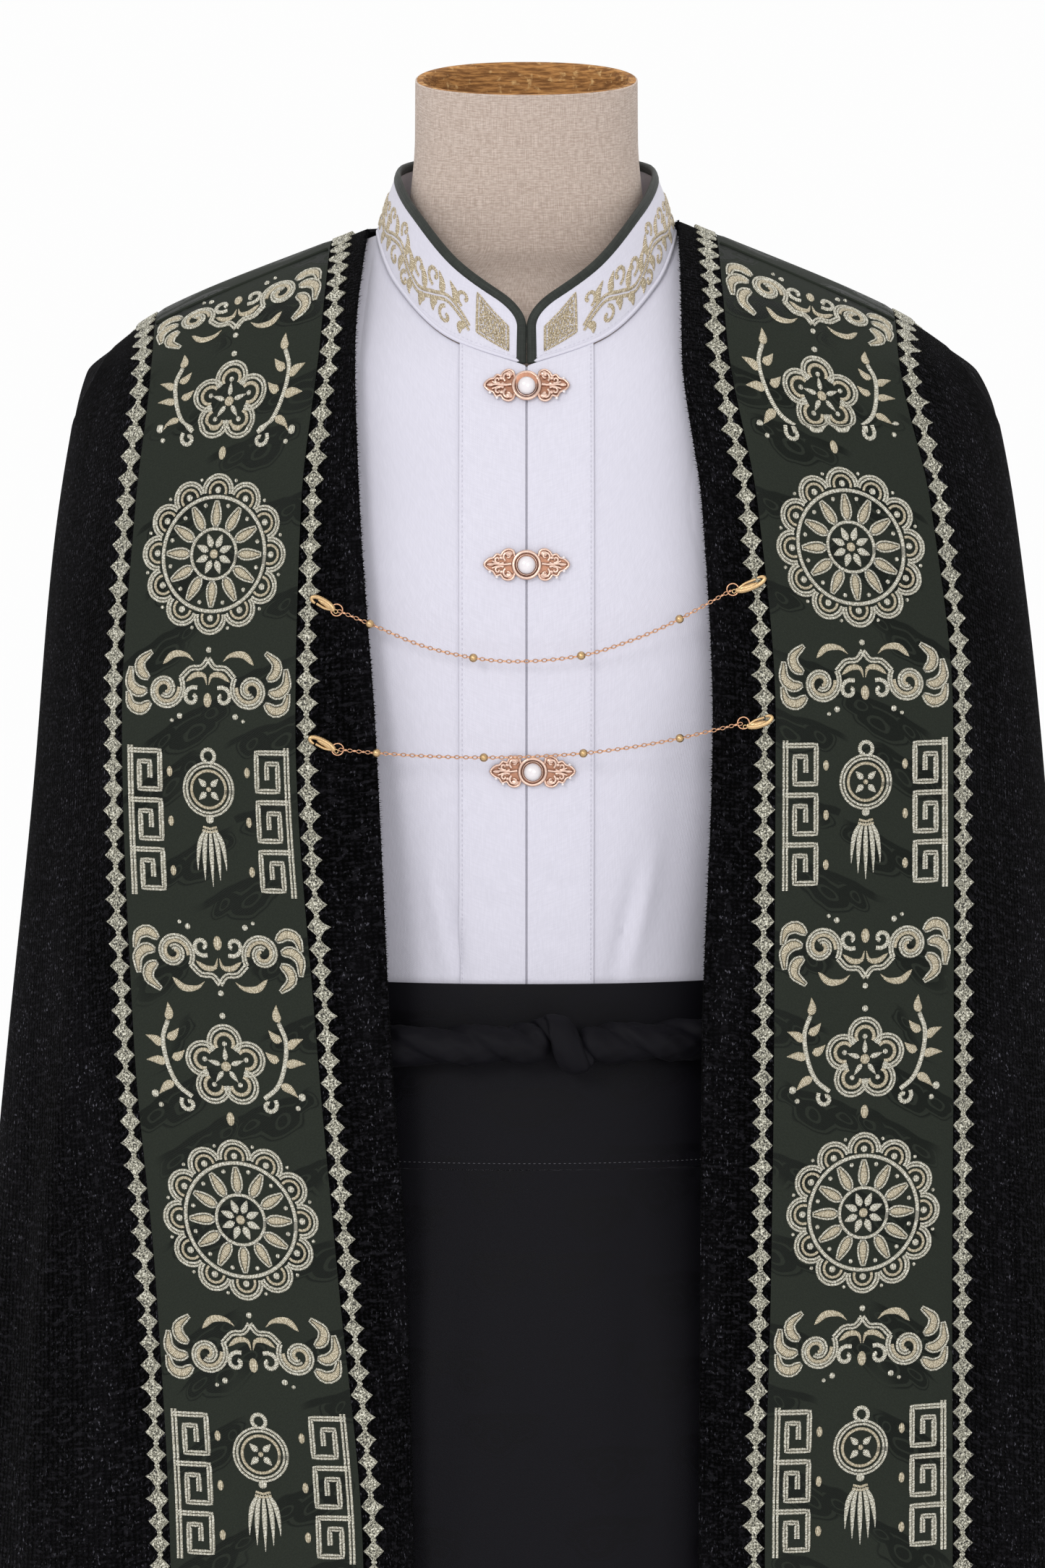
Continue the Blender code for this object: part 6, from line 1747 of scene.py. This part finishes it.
def make_frogs():
    settings = bpy.context.scene.cape_set
    pearl_radius = settings.pearl_diameter / 2
    for number, place in enumerate(FROG_PLACES, start=1):
        front = float(SHIRT.point(0.0, place.z)[1])
        slope = float(SHIRT.point(0.0, place.z + 0.008)[1] - SHIRT.point(0.0, place.z - 0.008)[1]) / 0.016
        back = front - SEAM_GAP * 2 - SHIRT_WALL - 0.0002

        def at(x, z, out, place=place, slope=slope, back=back):
            return np.array((place.x + x * MM, back + slope * z * MM - out * MM, place.z + z * MM))

        # A plate behind each wing and a disc behind the ring are made in a darker metal: painted shade in the casting's
        # hollows.
        casting, shade_plate = Solid(), Solid()
        outline, scrolls = frog_lines()
        for side in (-1, 1):
            rim = [at(side * x, z, 0.95) for x, z in outline]
            casting.tube(rim, 0.00062, 8)
            shade_plate.plate(*([at(side * x, z, out) for x, z in outline[::side]] for out in (0.35, 0.05)))
            for line in scrolls:
                width = np.linspace(0.75, 0.45, len(line)) * MM
                arched = [at(side * x, z, 1.15 + 0.35 * math.sin(3 * k / len(line)))
                          for k, (x, z) in enumerate(line)]
                casting.tube(arched, width, 8, flat=0.9)
            for x, z, wide, tall in ((8.6, 5.4, 2.2, 1.7), (8.6, -5.2, 2.2, 1.7), (12.4, 3.4, 1.5, 1.1),
                                     (12.2, -3.4, 1.5, 1.1), (17.6, 0.2, 2.2, 1.1), (10.8, 0.2, 1.9, 1.0)):
                casting.ball(at(side * x, z, 0.75), (wide * MM, 0.00105, tall * MM), 12, 6)
            casting.ball(at(side * 20.6, 0.2, 0.9), 0.0008, 10, 6)
        for radius, wire, out in ((6.45, 0.95, 1.35), (4.95, 0.35, 1.1)):
            ring = [at(radius * math.cos(a), radius * math.sin(a), out) for a in np.linspace(0, 2 * math.pi, 41)[:-1]]
            casting.tube(ring, wire * MM, 10, closed=True)
        shade_plate.ball(at(0, 0, 0.5), (0.0064, 0.0005, 0.0064), 24, 6)
        piece = casting.build(f"frog_casting_{number}", finishes()["rose_gold"])
        place_piece(piece, [f"frog_plate_{number}"])
        place_piece(shade_plate.build(f"frog_backing_{number}", finishes()["shade_gold"]))
        bead = Solid()
        bead.ball(at(0, 0, FROG_THICKNESS / MM + 1.4), (pearl_radius, 0.0030, pearl_radius), 28, 18)
        place_piece(bead.build(f"pearl_bead_{number}", finishes()["pearl"]), [f"frog_pearl_{number}"])
        seeds = Solid()
        for x, z in ((-18.0, -3.4), (-14.6, -6.0), (18.2, 3.6), (14.8, -6.2), (18.4, -3.0)):
            seeds.ball(at(x, z, 1.2), 0.00085, 12, 8)
        place_piece(seeds.build(f"seed_pearls_{number}", finishes()["pearl"]))


def smooth_route(points, count):
    """Evenly shared points on a Catmull-Rom curve through a route's own points."""
    knots = [Vector(point) for point in points]
    knots = [2 * knots[0] - knots[1], *knots, 2 * knots[-1] - knots[-2]]
    fine = []
    for a, b, c, d in zip(knots, knots[1:], knots[2:], knots[3:]):
        for k in range(20):
            t = k / 20
            fine.append(0.5 * (2 * b + (c - a) * t + (2 * a - 5 * b + 4 * c - d) * t ** 2
                               + (3 * b - a - 3 * c + d) * t ** 3))
    fine.append(knots[-2])
    line = np.array([tuple(point) for point in fine])
    runs = run_lengths(line)
    marks = np.linspace(0, runs[-1], count)
    return np.stack([np.interp(marks, runs, line[:, k]) for k in range(3)], 1)


def make_chains():
    settings = bpy.context.scene.cape_set
    for word, route in (("upper", UPPER_ROUTE), ("lower", LOWER_ROUTE)):
        path = smooth_route(route, CHAIN_POINTS)
        runs = run_lengths(path)
        length = float(runs[-1])
        pitch = settings.link_length * 0.74
        count = round(length / pitch)

        def at(run):
            return np.array([np.interp(run, runs, path[:, k]) for k in range(3)])

        links = Solid()
        for k in range(count):
            run = (k + 0.5) * length / count
            middle = at(run)
            along = unit(at(min(run + 0.002, length)) - at(max(run - 0.002, 0)))
            flat = np.array(FACING) if k % 2 == 0 else unit(np.cross(along, FACING))
            flat = unit(flat - along * np.dot(flat, along) + 0.18 * np.cross(along, flat))
            side = unit(np.cross(flat, along))
            wire = settings.link_length * 0.105
            ring = hoop(middle, along * (settings.link_length / 2 - wire), side * settings.link_length * 0.27, 14)
            links.tube(ring, wire, 6, closed=True, up=flat)
        chain = links.build(f"chain_links_{word}", finishes()["chain_gold"])
        place_piece(chain, [f"chain_{word}"])
        balls = Solid()
        for share in BEAD_SHARES[word]:
            balls.ball(at(share * length), settings.bead_diameter / 2, 18, 12)
        beads = place_piece(balls.build(f"chain_beads_{word}", finishes()["clasp_gold"]))
        for side_word, end, inward in (("left", path[0], path[1]), ("right", path[-1], path[-2])):
            make_clasp(word, side_word, end, inward)


def make_clasp(word, side_word, end, inward):
    """A jump ring, then a lobster clasp hooked in the lace."""
    name = f"{word}_{side_word}"
    low, high = (np.array(corner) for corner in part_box("clasp_" + name))
    far, near = (low, high) if side_word == "left" else (high, low)
    tip = np.array((far[0], low[1] + 0.0004, high[2]))
    start = np.array((near[0], low[1] + 0.0006, low[2]))
    along = unit(tip - start)
    side = unit(np.cross(along, FACING))
    ring = Solid()
    ring.tube(hoop(end + unit(end - inward) * 0.0006, along * 0.0029, side * 0.0029, 24), 0.00036, 8, closed=True)
    place_piece(ring.build("jump_ring_" + name, finishes()["chain_gold"]))
    body = Solid()
    base = start + along * 0.0022
    room = np.linalg.norm(tip - start) - 0.0030

    def drawn(*points):
        return [base + along * a * MM + side * b * MM for a, b in sweep(*((a * room / MM, b) for a, b in points))]

    line = drawn((0.0, 0.0), (0.10, 0.9), (0.30, 1.7), (0.60, 2.0), (0.86, 1.6), (1.0, 0.3), (0.94, -0.9),
                 (0.78, -1.4))
    width = np.interp(np.linspace(0, 1, len(line)), (0, 0.15, 0.55, 0.9, 1), (1.3, 1.5, 1.15, 0.85, 0.55)) * MM
    body.tube(line, width, 10, flat=0.85)
    body.tube(drawn((0.10, -0.4), (0.35, -1.3), (0.72, -1.15)), 0.00070, 8)
    body.ball(base + along * 0.0004, (0.0011, 0.0009, 0.0011), 12, 8)
    shank = [base + along * room * part + side * 0.0009 * math.sin(3 * part) for part in np.linspace(0.0, 0.72, 14)]
    body.tube(shank, np.interp(np.linspace(0, 1, 14), (0, 0.35, 0.8, 1), (0.8, 1.5, 1.2, 0.4)) * MM, 12, flat=0.7)
    body.tube(hoop(base - along * 0.0012, along * 0.0009, side * 0.0009, 14), 0.00032, 6, closed=True)
    return place_piece(body.build("lobster_clasp_" + name, finishes()["clasp_gold"]), ["clasp_" + name])


def make_stage():
    settings = bpy.context.scene.cape_set
    paper = Finish("pale_backdrop")
    grain = paper.add("TexNoise", Vector=paper.add("TexCoord", out="Object"), Scale=60.0)
    material = paper.wear(Roughness=0.9, Base_Color=linear("#f2f2f4"),
                          Normal=paper.add("Bump", Height=grain, Distance=0.0001))
    size = 7.0
    floor = make_mesh("pale_floor", [(-size, -size, 0), (size, -size, 0), (size, size, 0), (-size, size, 0)],
                      [(0, 1, 2, 3)], material)
    world = bpy.data.worlds.new("soft_room")
    bpy.context.scene.world = world
    world.use_nodes = True
    background = world.node_tree.nodes["Background"]
    background.inputs[0].default_value = linear("#ffffff")
    background.inputs[1].default_value = settings.room_light
    for name, place, target, width, power in (
        ("key", (-1.6, -3.1, 2.6), (0, 0, 1.1), 1.2, 40.0), ("fill", (0.8, -3.6, 1.5), (0, 0, 1.1), 1.6, 24.0),
        ("top", (0.3, 0.6, 3.6), (0, 0, 1.2), 1.6, 12.0),
    ):
        light = bpy.data.lights.new(name, "AREA")
        light.energy = power
        light.shape = "DISK"
        light.size = width
        lamp = bpy.data.objects.new(name, light)
        lamp.location = place
        lamp.rotation_euler = (Vector(target) - Vector(place)).to_track_quat("-Z", "Y").to_euler()
        bpy.context.scene.collection.objects.link(lamp)
    camera_data = bpy.data.cameras.new("camera")
    camera_data.sensor_width = 36.0
    camera_data.lens = settings.lens
    camera = bpy.data.objects.new("camera", camera_data)
    target = Vector((-0.002, 0.0, 1.142))
    tilt = math.radians(4.0)
    forward = Vector((0, math.cos(tilt), -math.sin(tilt)))
    camera.location = target - forward * 3.2
    camera.rotation_euler = forward.to_track_quat("-Z", "Y").to_euler()
    bpy.context.scene.collection.objects.link(camera)
    bpy.context.scene.camera = camera
    bpy.context.scene.view_settings.view_transform = "Standard"


class CapeSetSettings(bpy.types.PropertyGroup):
    """Sizes and colours of the set."""

    pearl_diameter: FloatProperty(name="Pearl", description="Width of the pearl in each frog clasp",
                                  default=0.0088, unit="LENGTH")
    lace_width: FloatProperty(name="Lace width", description="Width of a lace lozenge", default=0.0104,
                              unit="LENGTH")
    lace_pitch: FloatProperty(name="Lace pitch", description="Length of one lace lozenge", default=0.0110,
                              unit="LENGTH")
    link_length: FloatProperty(name="Link", description="Length of one chain link", default=0.00295,
                               unit="LENGTH")
    bead_diameter: FloatProperty(name="Chain bead", description="Width of a bead on the chains",
                                 default=0.0043, unit="LENGTH")
    room_light: FloatProperty(name="Room light", description="Strength of the even light all round",
                              default=0.985, min=0.0)
    lens: FloatProperty(name="Lens", description="Focal length of the camera in millimetres", default=144.0,
                        min=1.0)
    tweed_colour: FloatVectorProperty(name="Tweed", description="Colour of the boucle's raised yarn",
                                      subtype="COLOR", size=4, default=linear("#0f0e11"))
    jacquard_colour: FloatVectorProperty(name="Jacquard", description="Ground colour of the green bands",
                                         subtype="COLOR", size=4, default=linear("#242822"))
    shirt_colour: FloatVectorProperty(name="Shirt", description="Colour of the shirting",
                                      subtype="COLOR", size=4, default=linear("#c6c4cf"))


class CAPESET_OT_stage(bpy.types.Operator):
    """Set up the floor, the light and the camera"""

    bl_idname = "cape_set.stage"
    bl_label = "Stage"

    def execute(self, context):
        make_stage()
        return {"FINISHED"}


class CAPESET_OT_form(bpy.types.Operator):
    """Make the linen torso and finish the stand"""

    bl_idname = "cape_set.form"
    bl_label = "Dress form"

    def execute(self, context):
        make_form()
        return {"FINISHED"}


class CAPESET_OT_shirt(bpy.types.Operator):
    """Make the shirt's panels, plackets, collar, sleeves and cuffs"""

    bl_idname = "cape_set.shirt"
    bl_label = "Shirt"

    def execute(self, context):
        make_shirt()
        return {"FINISHED"}


class CAPESET_OT_frogs(bpy.types.Operator):
    """Make the cast clasps and their pearls"""

    bl_idname = "cape_set.frogs"
    bl_label = "Frog clasps"

    def execute(self, context):
        make_frogs()
        return {"FINISHED"}


class CAPESET_OT_skirt(bpy.types.Operator):
    """Make the waistband and the two skirt panels"""

    bl_idname = "cape_set.skirt"
    bl_label = "Skirt"

    def execute(self, context):
        make_skirt()
        return {"FINISHED"}


class CAPESET_OT_tie(bpy.types.Operator):
    """Make the twisted tie and its wrap"""

    bl_idname = "cape_set.tie"
    bl_label = "Waist tie"

    def execute(self, context):
        make_tie()
        return {"FINISHED"}


class CAPESET_OT_cape(bpy.types.Operator):
    """Make the tweed panels and their loose fibres"""

    bl_idname = "cape_set.cape"
    bl_label = "Cape"

    def execute(self, context):
        make_cape()
        return {"FINISHED"}


class CAPESET_OT_bands(bpy.types.Operator):
    """Make the jacquard bands"""

    bl_idname = "cape_set.bands"
    bl_label = "Green bands"

    def execute(self, context):
        make_bands()
        return {"FINISHED"}


class CAPESET_OT_trims(bpy.types.Operator):
    """Make the pointed gold lace"""

    bl_idname = "cape_set.trims"
    bl_label = "Lace"

    def execute(self, context):
        make_trims()
        return {"FINISHED"}


class CAPESET_OT_embroidery(bpy.types.Operator):
    """Stitch the motifs on the bands"""

    bl_idname = "cape_set.embroidery"
    bl_label = "Embroidery"

    def execute(self, context):
        make_embroidery()
        return {"FINISHED"}


class CAPESET_OT_chains(bpy.types.Operator):
    """Make the chains, beads and clasps"""

    bl_idname = "cape_set.chains"
    bl_label = "Chains"

    def execute(self, context):
        make_chains()
        return {"FINISHED"}


OPERATORS = (
    CAPESET_OT_stage, CAPESET_OT_form, CAPESET_OT_shirt, CAPESET_OT_frogs, CAPESET_OT_skirt,
    CAPESET_OT_tie, CAPESET_OT_cape, CAPESET_OT_bands, CAPESET_OT_trims, CAPESET_OT_embroidery,
    CAPESET_OT_chains,
)


class CAPESET_PT_panel(bpy.types.Panel):
    """Lists the pieces and the settings."""

    bl_label = "Cape Set"
    bl_idname = "CAPESET_PT_panel"
    bl_space_type = "VIEW_3D"
    bl_region_type = "UI"
    bl_category = "Cape Set"

    def draw(self, context):
        for name in CapeSetSettings.__annotations__:
            self.layout.prop(context.scene.cape_set, name)
        for kind in OPERATORS:
            self.layout.operator(kind.bl_idname)


CLASSES = (CapeSetSettings, *OPERATORS, CAPESET_PT_panel)


def register():
    for kind in CLASSES:
        bpy.utils.register_class(kind)
    bpy.types.Scene.cape_set = PointerProperty(type=CapeSetSettings)


def unregister():
    del bpy.types.Scene.cape_set
    for kind in reversed(CLASSES):
        bpy.utils.unregister_class(kind)


def main():
    register()
    for kind in OPERATORS:
        getattr(bpy.ops.cape_set, kind.bl_idname.split(".")[1])()


if __name__ == "__main__":
    main()
